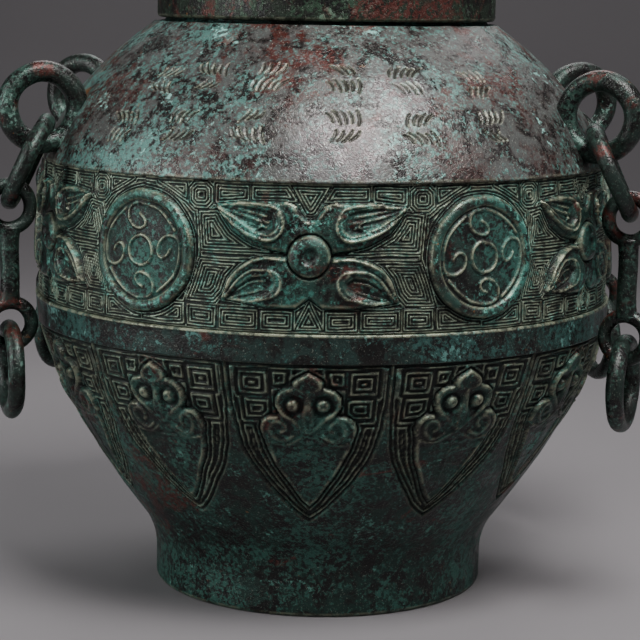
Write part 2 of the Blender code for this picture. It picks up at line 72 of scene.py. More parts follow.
LID_INNER_RADIUS = 83.5
LID_BOTTOM = 294.1
LID_CEILING = 309.6
LID_SHOULDER = 313.1
LID_CROWN = 321.1
LID_ROUND = 7.0
LID_EDGE = 2.0
LID_WALL = 3.5
GRIP_RADIUS = 33.0
GRIP_FLARE = 4.0
GRIP_WALL = 4.5
GRIP_HEIGHT = 19.0
LOOP_SPREAD = radians(24.8)
LOOP_CENTRE_HEIGHT = 249.7
LOOP_STAND = 18.2
LOOP_RADIUS = 17.6
LOOP_WIRE = 5.3
BAR_STAND = 17.8
UPPER_RING_RADIUS = 21.8
UPPER_RING_WIRE = 4.2
UPPER_RING_SEAT = radians(18)
EYE_RADIUS = 10.8
EYE_WIRE = 3.4
BAR_SPAN = 58.6
BAR_WIRE = 4.8
PULL_RING_RADIUS = 20.3
PULL_RING_WIRE = 4.3
CHAIN_GAP = 0.6
RING_SHAKE = 0.12
PLACES = {
    "front_right": (pi / 2 - LOOP_SPREAD, radians(18), radians(7)),
    "back_right": (pi / 2 + LOOP_SPREAD, radians(-8), radians(-5)),
    "back_left": (-pi / 2 - LOOP_SPREAD, radians(8), radians(7)),
    "front_left": (-pi / 2 + LOOP_SPREAD, radians(-18), radians(-5)),
}
MM = 0.001

# The flat drawing of one sixth of the band: right half, from the motif's boss to the medallion.
# Each pair is millimetres sideways from the boss and up from the band's middle.
DECOR_HEIGHT = 188.0
DECOR_WIDTH = 85.2
DECOR_HALF = 34.5
MOTIF = [(0, 17.6), (2.4, 18.3), (4.2, 20.6), (6.4, 23.8), (11.4, 25.6), (20.3, 25.9), (27, 25.7), (35, 24.8),
         (45.2, 23.8), (41.4, 17.4), (37, 11.6), (32, 8.6), (27, 6), (20.3, 4.3), (11.4, 2.9), (10.1, 1.3),
         (20.3, 0.7), (27, -0.7), (33.1, -4.2), (37.9, -9.8), (41.7, -19.8), (31.4, -21.1), (20.3, -22.6),
         (11.4, -22.9), (5.9, -22.6), (0, -18.1)]
UPPER_RECESS = [(15.9, 16.9), (17.2, 20.8), (22.6, 22.4), (33.7, 23.6), (43.7, 23.1), (38.1, 18.9),
                (31.4, 14.9), (24.8, 12.2), (19.2, 11.3), (16.2, 13)]
LOWER_RECESS = [(16.4, -10.9), (20.3, -8.1), (27, -9.2), (33.7, -13.7), (39.8, -19.6), (31.4, -19.6),
                (22.6, -16.7), (18.1, -14.4)]
# Raised lines of the motif: points, half width at its start, middle and end, and rise
MOTIF_LINES = [
    ([(12.8, 18.5), (12.1, 15.2), (13.9, 10.8), (18.7, 8.6), (25.9, 9.8), (33.7, 13.3), (40.3, 18.2),
      (44.6, 23.1)], (0.6, 0.8, 0.4), 1.1),
    ([(12.8, 18.5), (14.6, 22), (20.3, 24), (27.6, 24.8), (34.6, 24.8)], (0.6, 0.7, 0.4), 0.9),
    ([(0, 18.7), (2.4, 19.4), (4.4, 22.0), (7.0, 24.2), (12, 25.0)], (0.7, 0.8, 0.5), 0.9),
    ([(24.6, 17.3), (22.4, 15), (25, 13.2), (31.4, 15.3), (38.4, 19.3), (43.9, 23)], (0.5, 0.8, 0.35), 1.1),
    ([(11.4, -0.7), (18.1, 0), (25.9, -1.6), (32.6, -5.3), (37, -9.8), (39.4, -14.8), (41, -19.2)],
     (0.5, 0.75, 0.4), 1.0),
    ([(20.3, -5.6), (27, -6.2), (33, -10.6), (38.6, -18.2)], (0.4, 0.7, 0.35), 0.9),
    ([(20.3, -5.6), (15.9, -6.4), (13.1, -9.8), (13.4, -14.2), (16.4, -17.6), (21.4, -18.9), (31.4, -20.9)],
     (0.5, 0.75, 0.35), 1.0),
]
MOTIF_SWELLS = [
    ([(14.2, 20.5), (13.4, 15.2), (15.4, 11.6), (19.5, 9.2), (25.9, 10.4), (33.4, 14.1), (40, 18.8)],
     (1.2, 2.5, 0.5), 1.2),
    ([(14, 0.4), (20, 0.8), (26.6, -1.6), (32.4, -5.9), (36.6, -10.8), (39, -15.8)], (1.0, 2.4, 0.6), 1.1),
    ([(17.6, -7), (14.8, -10), (15, -14), (18, -17), (24, -18.9)], (1.0, 2.0, 0.6), 0.9),
]
FINE_LINES = [
    [(20.3, 18.9), (29.2, 20.8), (38.1, 22.4)],
    [(19.4, 16.2), (27, 17.6), (37, 20.4), (43.2, 22.4)],
    [(20.3, 14), (29.2, 15.6), (38.1, 19.1), (43.7, 22.2)],
    [(21.4, -14.4), (28.1, -16.7), (37, -19)],
    [(20.3, -10.4), (27, -11.6), (33.7, -15.8)],
]
BOSS_HEIGHT = 1.3
BOSS_RADIUS = 9.6
BOSS_PIT_RADIUS = 4.3
# Cells of the spiral ground: each is filled with lines nested inside its outline
GROUND_CELLS = [
    [(0, 32.9), (9.4, 32.9), (1.8, 20.6), (0, 20.2)],
    [(10.6, 32.9), (27.9, 32.9), (27.9, 25.1), (5.4, 25.1)],
    [(28.8, 32.9), (45.9, 32.9), (45.9, 23.8), (38.1, 21.3), (28.8, 25.1)],
    [(49.8, 33.6), (56.4, 33.6), (59.7, 30.7), (59.7, 24), (56.4, 21.1), (49.8, 21.1), (46.7, 24),
     (46.7, 30.7)],
    [(60.7, 32.9), (77, 32.9), (60.7, 24.9)],
    [(15.9, 2.2), (44.8, 21.3), (54.6, 20.2), (52.3, 2.2)],
    [(11.4, 2.2), (52.3, 2.2), (52.3, -1.1), (11.4, -1.1)],
    [(27, -1.1), (52.6, -1.1), (60.3, -22), (44.8, -22)],
    [(0, -19.8), (6.4, -33.1), (0, -33.1)],
    [(7.2, -23.8), (22.6, -23.8), (22.6, -33.3), (7.2, -33.3)],
    [(23.4, -23.3), (42.6, -23.3), (42.6, -33.3), (23.4, -33.3)],
    [(43.7, -22.9), (59.2, -22.9), (59.2, -33.3), (43.7, -33.3)],
    [(60.1, -22.6), (85.7, -22.6), (85.7, -33.3), (60.1, -33.3)],
]
GROUND_PITCH = 1.45
GROUND_DEPTH = 0.75
GROUND_SHIFT = 0.12
GROUND_HALF = 34.6
BORDER_RISE = 0.35
MEDALLION_RADIUS = 28.7
MEDALLION_RIM = 5.4
ROLL_HALF = MEDALLION_RIM / 2
ROLL_MIDDLE = MEDALLION_RADIUS - ROLL_HALF
# One of a medallion's four curls, from its inner end out to where it joins the rim's circle
CURL = [(-1.4, 16.9), (1.3, 15.2), (2.4, 12.2), (-0.3, 10.2), (-4.8, 11.3), (-7.8, 15.2), (-7.3, 19.7),
        (-3.7, 21.9), (2.4, 21.8), (9.1, 19.6), (14.7, 15.2), (19.1, 10.2)]

# Heights of the band's forms and the widths that shape them, in millimetres
PLATE_RISE = 2.5
PLATE_EDGE = 2.2
RECESS_DEPTH = 1.5
FINE_WIDTHS = (0.45, 0.5, 0.35)
FINE_RISE = 0.7
BOSS_FOOT = 1.9
BOSS_RISE = 3.4
BOSS_PIT_DEPTH = 2.2
BOSS_GROOVE = 1.6
DISC_FOOT = 1.3
ROLL_FOOT = 0.9
ROLL_RISE = 2.2
RING_RADIUS = 6.9
RING_HALF = 0.85
CURL_WIDTHS = (0.7, 1.0, 0.7)
CURL_RISE = 0.95

# The flat drawing of one leaf blade: left half, millimetres from the middle of its top edge
BLADE_TOP = 138.6
BLADE_PITCH = 2.5
BLADE_DEPTH = 1.25
BLADE_SHIFT = 0.1
BLADE_FOOT = 52
BLADE = [(0, 0.2), (-37.8, 0.2), (-37.8, -18), (-36.8, -28.7), (-34.7, -42.3), (-31.3, -50.9),
         (-25.3, -60.2), (-18.8, -68), (-11, -75.9), (-4.5, -80.9), (0, -83)]
BLADE_SQUARES = [
    [(-33.5, -2.3), (-18.5, -2.3), (-18.5, -15.3), (-33.5, -15.3)],
    [(-17.5, -2.6), (-8.5, -2.6), (-10.3, -10.3), (-17.5, -10.9)],
    [(-31.7, -16.2), (-18.1, -16.2), (-18.1, -27.5), (-31.7, -27.5)],
]
MASK = [(0, -3), (-2.8, -4.6), (-6, -6.6), (-7.6, -8.4), (-7.5, -10.6), (-12.4, -12), (-15.4, -14.8),
        (-16, -19.5), (-14.5, -23.2), (-13.5, -25), (-19.2, -25.3), (-22.8, -28), (-24.1, -32),
        (-23.1, -36.6), (-21.7, -43), (-18.5, -50.9), (-14.5, -57.3), (-9.5, -64.8), (-4.5, -71.2),
        (0, -75.5)]
MASK_SUNK = [(-19.8, -40.9), (-16.5, -50.2), (-12.5, -57.3), (-7.8, -64.8), (-3.5, -70.2), (0, -73),
             (0, -40.2), (-4, -38.6), (-8, -41), (-12, -42.2), (-16, -41.6)]
MASK_LINES = [
    ([(0, -4.2), (-4.6, -7.6), (-5.6, -10.4), (-2.4, -12.6), (0, -13.2)], (0.8, 1.2, 0.6), 0.7),
    ([(-7.8, -11.6), (-12.2, -13), (-14.6, -16.2), (-14.8, -20.2), (-12.8, -23.6), (-9, -26.6), (-5, -29.8),
      (-1.2, -33.4)], (0.8, 1.4, 0.9), 1.0),
    ([(0, -14.5), (-0.4, -20.2), (-1.2, -25.2), (-1.6, -29.1), (0, -33.4)], (1.2, 2.2, 1.0), 1.1),
    ([(-13.1, -33.7), (-11.3, -32.3), (-11.7, -29.8), (-14.2, -28.4), (-17.4, -29.5), (-18.5, -32.7),
      (-17, -35.9), (-13.8, -38), (-10.3, -37.3), (-7.4, -35.5)], (0.9, 1.5, 0.9), 1.1),
    ([(-15, -26.4), (-20, -27.4), (-22.6, -31), (-22.6, -36)], (0.8, 1.5, 0.7), 0.8),
    ([(-20.4, -39), (-14.5, -40.2), (-11, -40.2), (-6.7, -38), (-3.1, -35.9), (0, -34.6)],
     (0.5, 0.8, 0.6), 0.7),
    ([(-9.5, -45.9), (-4.5, -44.6), (0, -45.9)], (0.3, 0.6, 0.4), 0.5),
    ([(-11.7, -53), (-7.4, -53.7), (-3.1, -52.7), (0, -53)], (0.3, 0.6, 0.4), 0.5),
    ([(-9.5, -58.9), (-4.5, -59.5), (0, -58.6)], (0.3, 0.5, 0.4), 0.4),
]
EYE = (-7.3, -19.6)
EYE_SOCKET = 5.2
EYE_BALL = 3.3
EYE_RISE = 3.2
MASK_RISE = 2.6

# How much wider the ornament was laid out at the front and back than at the sides
BAND_DRIFT = (radians(0.55), radians(2.6))
BLADE_DRIFT = (radians(1.3), 0.0)
# How far a repeat's lines wander, in millimetres, over what length, and its first seed
BAND_WANDER = (0.28, 46, 11)
BLADE_WANDER = (0.35, 40, 51)
# Repeats round the jar, and the columns and rows of each
BAND_FIELDS, BAND_COLS, BAND_ROWS = 6, 312, 122
BLADES, BLADE_COLS, BLADE_ROWS = 12, 92, 112


def swell(start, end, fullness, count):
    """Points of a quadratic curve, as in the CAD source."""
    start, end, fullness = np.array(start), np.array(end), np.array(fullness)
    pull = end + (start - end) * fullness
    t = np.linspace(0, 1, count + 1)[:, None]
    return (1 - t) ** 2 * start + 2 * t * (1 - t) * pull + t * t * end


def lower_wall(count):
    return swell((BODY_RADIUS - STRIP_PROUD, STRIP_BOTTOM), (LOWER_END_RADIUS, LOWER_END_HEIGHT),
                 (0.79, 0.56), count)


def shoulder_wall(count):
    return swell((SHOULDER_RADIUS, BAND_TOP), (SHOULDER_TOP_RADIUS, SHOULDER_TOP), (0.80, 0.47), count)


LOWER = lower_wall(80)
BAND = swell((BAND_RADIUS, STRIP_TOP), (BAND_TOP_RADIUS, BAND_TOP), (0.95, 0.62), 40)
SHOULDER = shoulder_wall(80)


def radius_at(curve, height):
    curve = curve[np.argsort(curve[:, 1])]
    return np.interp(height, curve[:, 1], curve[:, 0])


def smoothed(points, steps=6):
    """A smooth line through the points."""
    p = np.array(points, float)
    ends = np.vstack([2 * p[0] - p[1], p, 2 * p[-1] - p[-2]])
    out = []
    for i in range(1, len(ends) - 2):
        a, b, c, d = ends[i - 1:i + 3]
        t = np.linspace(0, 1, steps, endpoint=False)[:, None]
        out.append(0.5 * (2 * b + (c - a) * t + (2 * a - 5 * b + 4 * c - d) * t ** 2
                          + (3 * b - a - 3 * c + d) * t ** 3))
    return np.vstack(out + [p[-1:]])


def smoothstep(low, high, x):
    t = np.clip((x - low) / (high - low), 0, 1)
    return t * t * (3 - 2 * t)


def to_line(x, y, points):
    """Distance of each place to a line of points, and how far along it the nearest point is."""
    p = np.asarray(points, float)
    lengths = np.hypot(*(p[1:] - p[:-1]).T)
    start = np.concatenate([[0], np.cumsum(lengths)])
    best = np.full(x.shape, 1e9)
    share = np.zeros(x.shape)
    for (ax, ay), (bx, by), length, begun in zip(p[:-1], p[1:], lengths, start[:-1]):
        if length < 1e-9:
            continue
        t = np.clip(((x - ax) * (bx - ax) + (y - ay) * (by - ay)) / length ** 2, 0, 1)
        d = np.hypot(x - ax - t * (bx - ax), y - ay - t * (by - ay))
        nearer = d < best
        best = np.where(nearer, d, best)
        share = np.where(nearer, (begun + t * length) / start[-1], share)
    return best, share


def inside(x, y, outline):
    p = np.asarray(outline, float)
    within = np.zeros(x.shape, bool)
    for (ax, ay), (bx, by) in zip(p, np.roll(p, -1, axis=0)):
        if ay == by:
            continue
        crosses = (ay > y) != (by > y)
        within ^= crosses & (x < (bx - ax) * (y - ay) / (by - ay) + ax)
    return within


def from_outline(x, y, outline):
    """Distance of each place to a closed outline."""
    return to_line(x, y, outline + outline[:1])[0]


def depth_in(x, y, outline):
    """The same distance with a sign: above zero inside the outline."""
    d = from_outline(x, y, outline)
    return np.where(inside(x, y, outline), d, -d)


def mirrored(outline):
    """A closed outline from its half that starts and ends on the middle line."""
    return outline + [(-x, y) for x, y in outline[::-1]]


def half_round(t):
    """The height of a rounded ridge: 1 in the middle, and none where t is 1 or more."""
    return np.sqrt(np.clip(1 - t ** 2, 0, 1))


def bell(t, middle, width):
    return np.exp(-((t - middle) / width) ** 2)


def raise_line(height, x, y, points, widths, rise):
    """Adds a rounded ridge, or a groove where rise is below zero, whose half width changes along it."""
    line = smoothed(points)
    low, high = line.min(0) - max(widths) - 1, line.max(0) + max(widths) + 1
    near = (x > low[0]) & (x < high[0]) & (y > low[1]) & (y < high[1])
    if not near.any():
        return
    rows, cols = np.where(near.any(1))[0], np.where(near.any(0))[0]
    at = slice(rows[0], rows[-1] + 1), slice(cols[0], cols[-1] + 1)
    d, share = to_line(x[at], y[at], line)
    width = np.interp(share, [0, 0.5, 1], widths)
    height[at] += rise * half_round(d / width)


def pulses(depth, pitch):
    """Raised lines at a pitch, as far as depth goes: 1 on a line and 0 in the groove beside it."""
    phase = np.mod(depth / pitch, 1.0)
    return smoothstep(0.24, 0.36, phase) - smoothstep(0.72, 0.84, phase)


def blurred(field, reach):
    """The mean over a square that reaches so many cells to each side, taken twice."""
    for axis in (1, 0, 1, 0):
        total = np.zeros_like(field)
        for shift in range(-reach, reach + 1):
            total += np.roll(field, shift, axis=axis)
        field = total / (2 * reach + 1)
    return field


def waves(x, y, count, longest, seed):
    """A smooth random field of about unit size over places in millimetres."""
    draws = np.random.default_rng(seed)
    total = np.zeros(np.broadcast(x, y).shape)
    for i in range(count):
        length = longest * 0.75 ** i
        angle = draws.uniform(0, tau)
        total += (np.sin((x * cos(angle) + y * sin(angle)) * tau / length + draws.uniform(0, tau))
                  * np.sin((x * sin(angle) - y * cos(angle)) * tau / length + draws.uniform(0, tau)))
    return total / count ** 0.5


def wandering(x, y, amount, longest, seed, number):
    """The places moved a little, so that no repeat of a drawing is quite like the next."""
    x = x + amount * waves(x, y, 3, longest, seed + number)
    y = y + amount * waves(x, y, 3, longest, seed + 20 + number)
    return x, y


def corners(index):
    """The corners of each face between the rows and columns of a grid of vertex numbers."""
    return np.stack([index[:-1, :-1], index[:-1, 1:], index[1:, 1:], index[1:, :-1]], -1).reshape(-1, 4)


def build_mesh(name, points, quads, marks):
    """An object from a grid of points, with a float attribute for each of marks."""
    mesh = bpy.data.meshes.new(name)
    mesh.vertices.add(points.size // 3)
    mesh.vertices.foreach_set("co", (points * MM).astype(np.float32).ravel())
    mesh.loops.add(quads.size)
    mesh.loops.foreach_set("vertex_index", quads.astype(np.int32).ravel())
    mesh.polygons.add(len(quads))
    mesh.polygons.foreach_set("loop_start", np.arange(0, quads.size, 4, dtype=np.int32))
    mesh.update(calc_edges=True)
    mesh.validate()
    for mark, values in marks.items():
        attribute = mesh.attributes.new(mark, "FLOAT", "POINT")
        shares = np.broadcast_to(values, points.shape[:2])
        attribute.data.foreach_set("value", shares.astype(np.float32).ravel())
    mesh.shade_smooth()
    thing = bpy.data.objects.new(name, mesh)
    bpy.context.scene.collection.objects.link(thing)
    return thing


def build_grid(name, points, marks, wrap=False):
    """A mesh with faces between all rows and columns, closed round where wrap is set."""
    rows, cols = points.shape[:2]
    index = np.arange(rows * cols).reshape(rows, cols)
    if wrap:
        index = np.concatenate([index, index[:, :1]], axis=1)
    return build_mesh(name, points, corners(index), marks)


def build_ring_pieces(name, points, marks, count):
    """A grid closed round the jar and cut into pieces of equal width."""
    cols = points.shape[1] // count
    points = np.concatenate([points, points[:, :1]], axis=1)
    marks = {mark: np.concatenate([values, values[:, :1]], axis=1) for mark, values in marks.items()}
    pieces = []
    for k in range(count):
        part = slice(k * cols, (k + 1) * cols + 1)
        shares = {mark: values[:, part] for mark, values in marks.items()}
        pieces.append(build_grid(f"{name}_{k + 1}", points[:, part], shares))
    return pieces


def round_places(radius, angle, height):
    """Points round the jar's axis; the angle runs from the front, -Y, towards +X."""
    return np.stack(np.broadcast_arrays(radius * np.sin(angle), -radius * np.cos(angle), height), -1)


def relief_marks(height, scale):
    """How far each place stands out of its surroundings (worn) or lies below them (hollow, which is painted
    dark as shade and dirt).
    """
    out = (height - blurred(height, 2)) / scale
    return {"worn": smoothstep(0.2, 1.0, out), "hollow": np.clip(-out, 0, 1)}


def band_drawing(x, y, sector, stretch):
    """One sixth of the band: its heights, its ground's line depth, and three shares for its wear and
    darkening.

    x is stretched with the layout, and stretch turns it back to true millimetres.  The shares are
    those of the broad round forms, of their rubbed edges and of the medallion's disc.
    """
    x, y = wandering(x, y, *BAND_WANDER, sector)
    ax = np.abs(x)
    motif = depth_in(ax, y, mirrored(MOTIF))
    nest = np.abs(motif)
    for cell in GROUND_CELLS:
        gap = from_outline(ax, y, cell)
        if cell[0][0] == 0:
            whole = mirrored(cell)
            gap = np.where(inside(x, y, whole), from_outline(x, y, whole), gap)
        nest = np.minimum(nest, gap)
    beside = (DECOR_WIDTH - ax) * stretch
    from_medallion = np.hypot(beside, y)
    scale = np.clip(stretch / 0.96, 0.9, 1.0)
    nest = np.minimum(nest, np.abs(from_medallion - MEDALLION_RADIUS * scale - 0.4))
    nest = np.minimum(nest, np.minimum(GROUND_HALF - y, y + GROUND_HALF))
    lines = nest + GROUND_SHIFT
    height = -GROUND_DEPTH * (1 - pulses(lines, GROUND_PITCH))
    height += BORDER_RISE * smoothstep(GROUND_HALF - 1, GROUND_HALF - 0.4, y)

    # The motif: a plate with rounded edges, raised arms and a sunk wedge between each pair
    plate = -GROUND_DEPTH + PLATE_RISE * half_round(1 - np.clip(motif / PLATE_EDGE, 0, 1))
    plate += 0.5 * smoothstep(2.0, 7.0, motif)
    for recess in (UPPER_RECESS, LOWER_RECESS):
        plate -= RECESS_DEPTH * smoothstep(-0.5, 1.1, depth_in(ax, y, recess))
    for points, widths, rise in MOTIF_SWELLS + MOTIF_LINES:
        raise_line(plate, ax, y, points, widths, rise)
    for points in FINE_LINES:
        raise_line(plate, ax, y, points, FINE_WIDTHS, FINE_RISE)
    height = np.where(motif > 0, plate, height)

    # The motif's boss: a dome with a pit, in a groove
    away = np.hypot(x * stretch, y - BOSS_HEIGHT) / BOSS_RADIUS
    on_boss = away < 1.12
    pit = BOSS_PIT_RADIUS / BOSS_RADIUS
    dome = BOSS_FOOT + BOSS_RISE * half_round(away)
    dome -= BOSS_PIT_DEPTH * (1 - smoothstep(pit * 0.45, pit * 1.15, away))
    groove = BOSS_GROOVE * bell(away, 1.05, 0.05)
    height = np.where(on_boss, np.where(away < 1.0, dome, height) - groove, height)

    # The medallion: a rolled rim, a centre ring and four curls on a smooth disc
    mx, my = -np.sign(x) * beside / scale, y / scale
    far = from_medallion / scale
    on_disc = far < MEDALLION_RADIUS
    disc = DISC_FOOT + 0.5 * (1 - np.clip(far / 23, 0, 1) ** 2)
    across = np.abs(far - ROLL_MIDDLE) / ROLL_HALF
    face = np.where(across < 1, ROLL_FOOT + ROLL_RISE * half_round(across), disc)
    face += half_round((far - RING_RADIUS) / RING_HALF)
    for quarter in range(4):
        turn = quarter * pi / 2
        curl = np.array(CURL) @ np.array([[cos(turn), -sin(turn)], [sin(turn), cos(turn)]])
        raise_line(face, mx, my, curl, CURL_WIDTHS, CURL_RISE)
    height = np.where(on_disc, face, height)
    ground = np.where((motif > 0) | on_disc | on_boss, -1.0, lines) / GROUND_PITCH
    broad = np.maximum(1 - smoothstep(0.95, 1.05, across), 1 - smoothstep(0.9, 1.0, away))
    edge = np.maximum(bell(across, 0.78, 0.13), bell(away, 0.93, 0.04))
    disc_share = 1 - smoothstep(ROLL_MIDDLE - ROLL_HALF - 1, ROLL_MIDDLE - ROLL_HALF, far)
    return height, ground, broad, edge, disc_share


def drifted(turn, drift):
    """Where a place of an even layout comes to lie round the jar."""
    return turn + drift[0] * np.sin(turn) + drift[1] * np.sin(2 * turn)


def build_band():
    """The decorated band, in three pieces of two sixths each."""
    sheets, angles = [], []
    x_line = (np.arange(BAND_COLS) / BAND_COLS - 0.5) * 2 * DECOR_WIDTH
    y_line = np.linspace(-DECOR_HALF, DECOR_HALF, BAND_ROWS)
    x, y = np.meshgrid(x_line, y_line)
    for i in range(BAND_FIELDS):
        flat = tau * i / BAND_FIELDS + x_line / DECOR_WIDTH * pi / BAND_FIELDS
        spread = (1 + BAND_DRIFT[0] * np.cos(flat) + 2 * BAND_DRIFT[1] * np.cos(2 * flat)) * BAND_RADIUS
        stretch = spread * pi / BAND_FIELDS / DECOR_WIDTH
        sheets.append(band_drawing(x, y, i, np.broadcast_to(stretch, x.shape)))
        angles.append(drifted(flat, BAND_DRIFT))
    height, ground, broad, edge, disc_share = [np.hstack(sheet) for sheet in zip(*sheets)]
    marks = relief_marks(height, 0.62)
    worn = np.maximum(marks["worn"] * (1 - 0.85 * broad), 0.7 * edge)
    z = y_line + DECOR_HEIGHT
    # The hollow share is painted shade and dirt where the relief lies low, and it also darkens the
    # medallion's disc
    hollow = np.maximum(marks["hollow"], 0.5 * disc_share * (1 - worn))
    # Painted shade under the shoulder's ledge and in the joint above the strip's lip
    hollow = np.maximum(hollow, smoothstep(BAND_TOP - 2.2, BAND_TOP - 0.8, z)[:, None])
    hollow = np.maximum(hollow, 1 - smoothstep(STRIP_TOP + 0.3, STRIP_TOP + 1.1, z)[:, None])
    z[0], z[-1] = STRIP_TOP - 0.6, BAND_TOP + 0.6
    height[0] -= 1.0
    height[-1] -= 1.0
    points = round_places(radius_at(BAND, z)[:, None] + height, np.concatenate(angles), z[:, None])
    return build_ring_pieces("band", points, {"worn": worn, "hollow": hollow, "ground": ground}, 3)


def blade_drawing(x, y, blade):
    """One leaf blade: its heights and line depth; y is 0 at its top edge and below zero on it."""
    x, y = wandering(x, y, *BLADE_WANDER, blade)
    ax = -np.abs(x)
    leaf = depth_in(ax, y, mirrored(BLADE))
    mask = depth_in(ax, y, mirrored(MASK))
    nest = np.minimum(np.abs(leaf), np.abs(mask))
    for square in BLADE_SQUARES:
        nest = np.minimum(nest, from_outline(ax, y, square))
    lines = nest - BLADE_SHIFT
    height = -BLADE_DEPTH * (1 - pulses(lines, BLADE_PITCH)) - 0.1
    border = -1.35 * bell(leaf, 0, 0.5) + 0.25 * bell(leaf, -1.3, 0.7)
    height = np.where(leaf > 0, height, border)
    face = MASK_RISE * (half_round(1 - np.clip(mask / 2.0, 0, 1)) - 0.5)
    face -= 1.1 * smoothstep(-0.8, 0.8, depth_in(ax, y, mirrored(MASK_SUNK)))
    for points, widths, rise in MASK_LINES:
        raise_line(face, ax, y, points, widths, rise)
    away = np.hypot(ax - EYE[0], y - EYE[1])
    face -= 1.2 * (1 - smoothstep(EYE_SOCKET - 0.6, EYE_SOCKET + 0.8, away))
    face += EYE_RISE * half_round(away / EYE_BALL)
    face -= 0.9 * (1 - smoothstep(0.3, 1.2, away))
    ground = np.where((mask > 0) | (leaf < 0), -1.0, lines) / BLADE_PITCH
    return np.where(mask > 0, face, height), ground


def build_lower_body():
    """The tapering body with its twelve leaf blades, in two pieces."""
    plain_rows = np.linspace(LOWER_END_HEIGHT, BLADE_FOOT, 8, endpoint=False)
    y_line = np.concatenate([plain_rows, np.linspace(BLADE_FOOT, STRIP_BOTTOM, BLADE_ROWS)])
    width = tau / BLADES * BAND_RADIUS
    x_line = (np.arange(BLADE_COLS) / BLADE_COLS - 0.5) * width
    x, y = np.meshgrid(x_line, y_line - BLADE_TOP)
    sheets, angles = [], []
    for i in range(BLADES):
        sheets.append(blade_drawing(x, y, i))
        angles.append(drifted(tau * i / BLADES + x_line / BAND_RADIUS, BLADE_DRIFT))
    height, ground = [np.hstack(sheet) for sheet in zip(*sheets)]
    angle = np.concatenate(angles)
    marks = relief_marks(height, 1.0)
    marks["worn"] *= 0.7
    marks["ground"] = ground
    # Painted shade under the strip's lower edge
    under_strip = smoothstep(BLADE_TOP - 0.9, BLADE_TOP + 0.2, y_line)[:, None]
    marks["hollow"] = np.maximum(marks["hollow"], under_strip)
    uneven = 0.35 * waves(angle[None, :] * 90, y_line[:, None], 5, 70, 5)
    height += uneven * smoothstep(38, 60, y_line)[:, None]
    height[-1] = -0.4
    z = y_line.copy()
    z[-1] = STRIP_BOTTOM + 0.8
    points = round_places(radius_at(LOWER, y_line)[:, None] + height, angle, z[:, None])
    return build_ring_pieces("leaf_blades", points, marks, 2)


# Shallow cuts on the front of the shoulder, in two rows of six groups.  Each group is two fans of
# separate curved cuts, one over the other, which spell nothing: degrees from the front, height,
# and each fan's count, lean in degrees and bow in millimetres.
STROKE_GROUPS = [
    (-37, 266, (4, 32, 0.8), (4, -38, -0.6)),
    (-25, 268, (5, -24, -0.7), (3, 44, 0.6)),
    (-10.5, 269, (4, 18, 0.9), (5, 26, -0.7)),
    (6.5, 269, (3, -40, 0.6), (5, -14, 0.8)),
    (21, 268, (5, 36, -0.8), (4, -30, 0.7)),
    (39, 266, (4, -28, 0.7), (4, 30, -0.8)),
    (-42.5, 244, (5, -34, 0.8), (4, 20, -0.6)),
    (-27.5, 246, (4, 26, -0.9), (4, 40, 0.7)),
    (-12.5, 247.5, (3, 42, 0.7), (5, -26, -0.8)),
    (6.0, 247.5, (5, -20, 0.8), (4, 34, 0.6)),
    (21.5, 246.5, (4, 30, -0.7), (5, -36, 0.8)),
    (38.5, 247, (5, 22, 0.7), (3, -42, -0.7)),
]
STROKE_GAP = 3.3
STROKE_LENGTH = 8.0
STROKE_DEPTH = 0.8
FAN_RISE = 4.9
# Degrees sideways and millimetres up, from a group's middle, where the mesh is fine
STROKE_REACH = (5.2, 7.5)
SHOULDER_COLS, SHOULDER_ROWS = 470, 150


def fan(count, lean, bow, rise):
    """The cuts of one fan, each four points in millimetres about its group's middle."""
    cuts = []
    for k in range(count):
        aside = k - (count - 1) / 2
        turn = radians(lean + 7 * aside)
        half = STROKE_LENGTH * (0.5 - 0.07 * ((k * 7 + count) % 3))
        cut = []
        for t in (-1, -0.35, 0.35, 1):
            bulge = bow * (1 - t * t)
            cut.append((aside * STROKE_GAP + t * half * sin(turn) + bulge * cos(turn),
                        rise + t * half * cos(turn) - bulge * sin(turn)))
        cuts.append(cut)
    return cuts


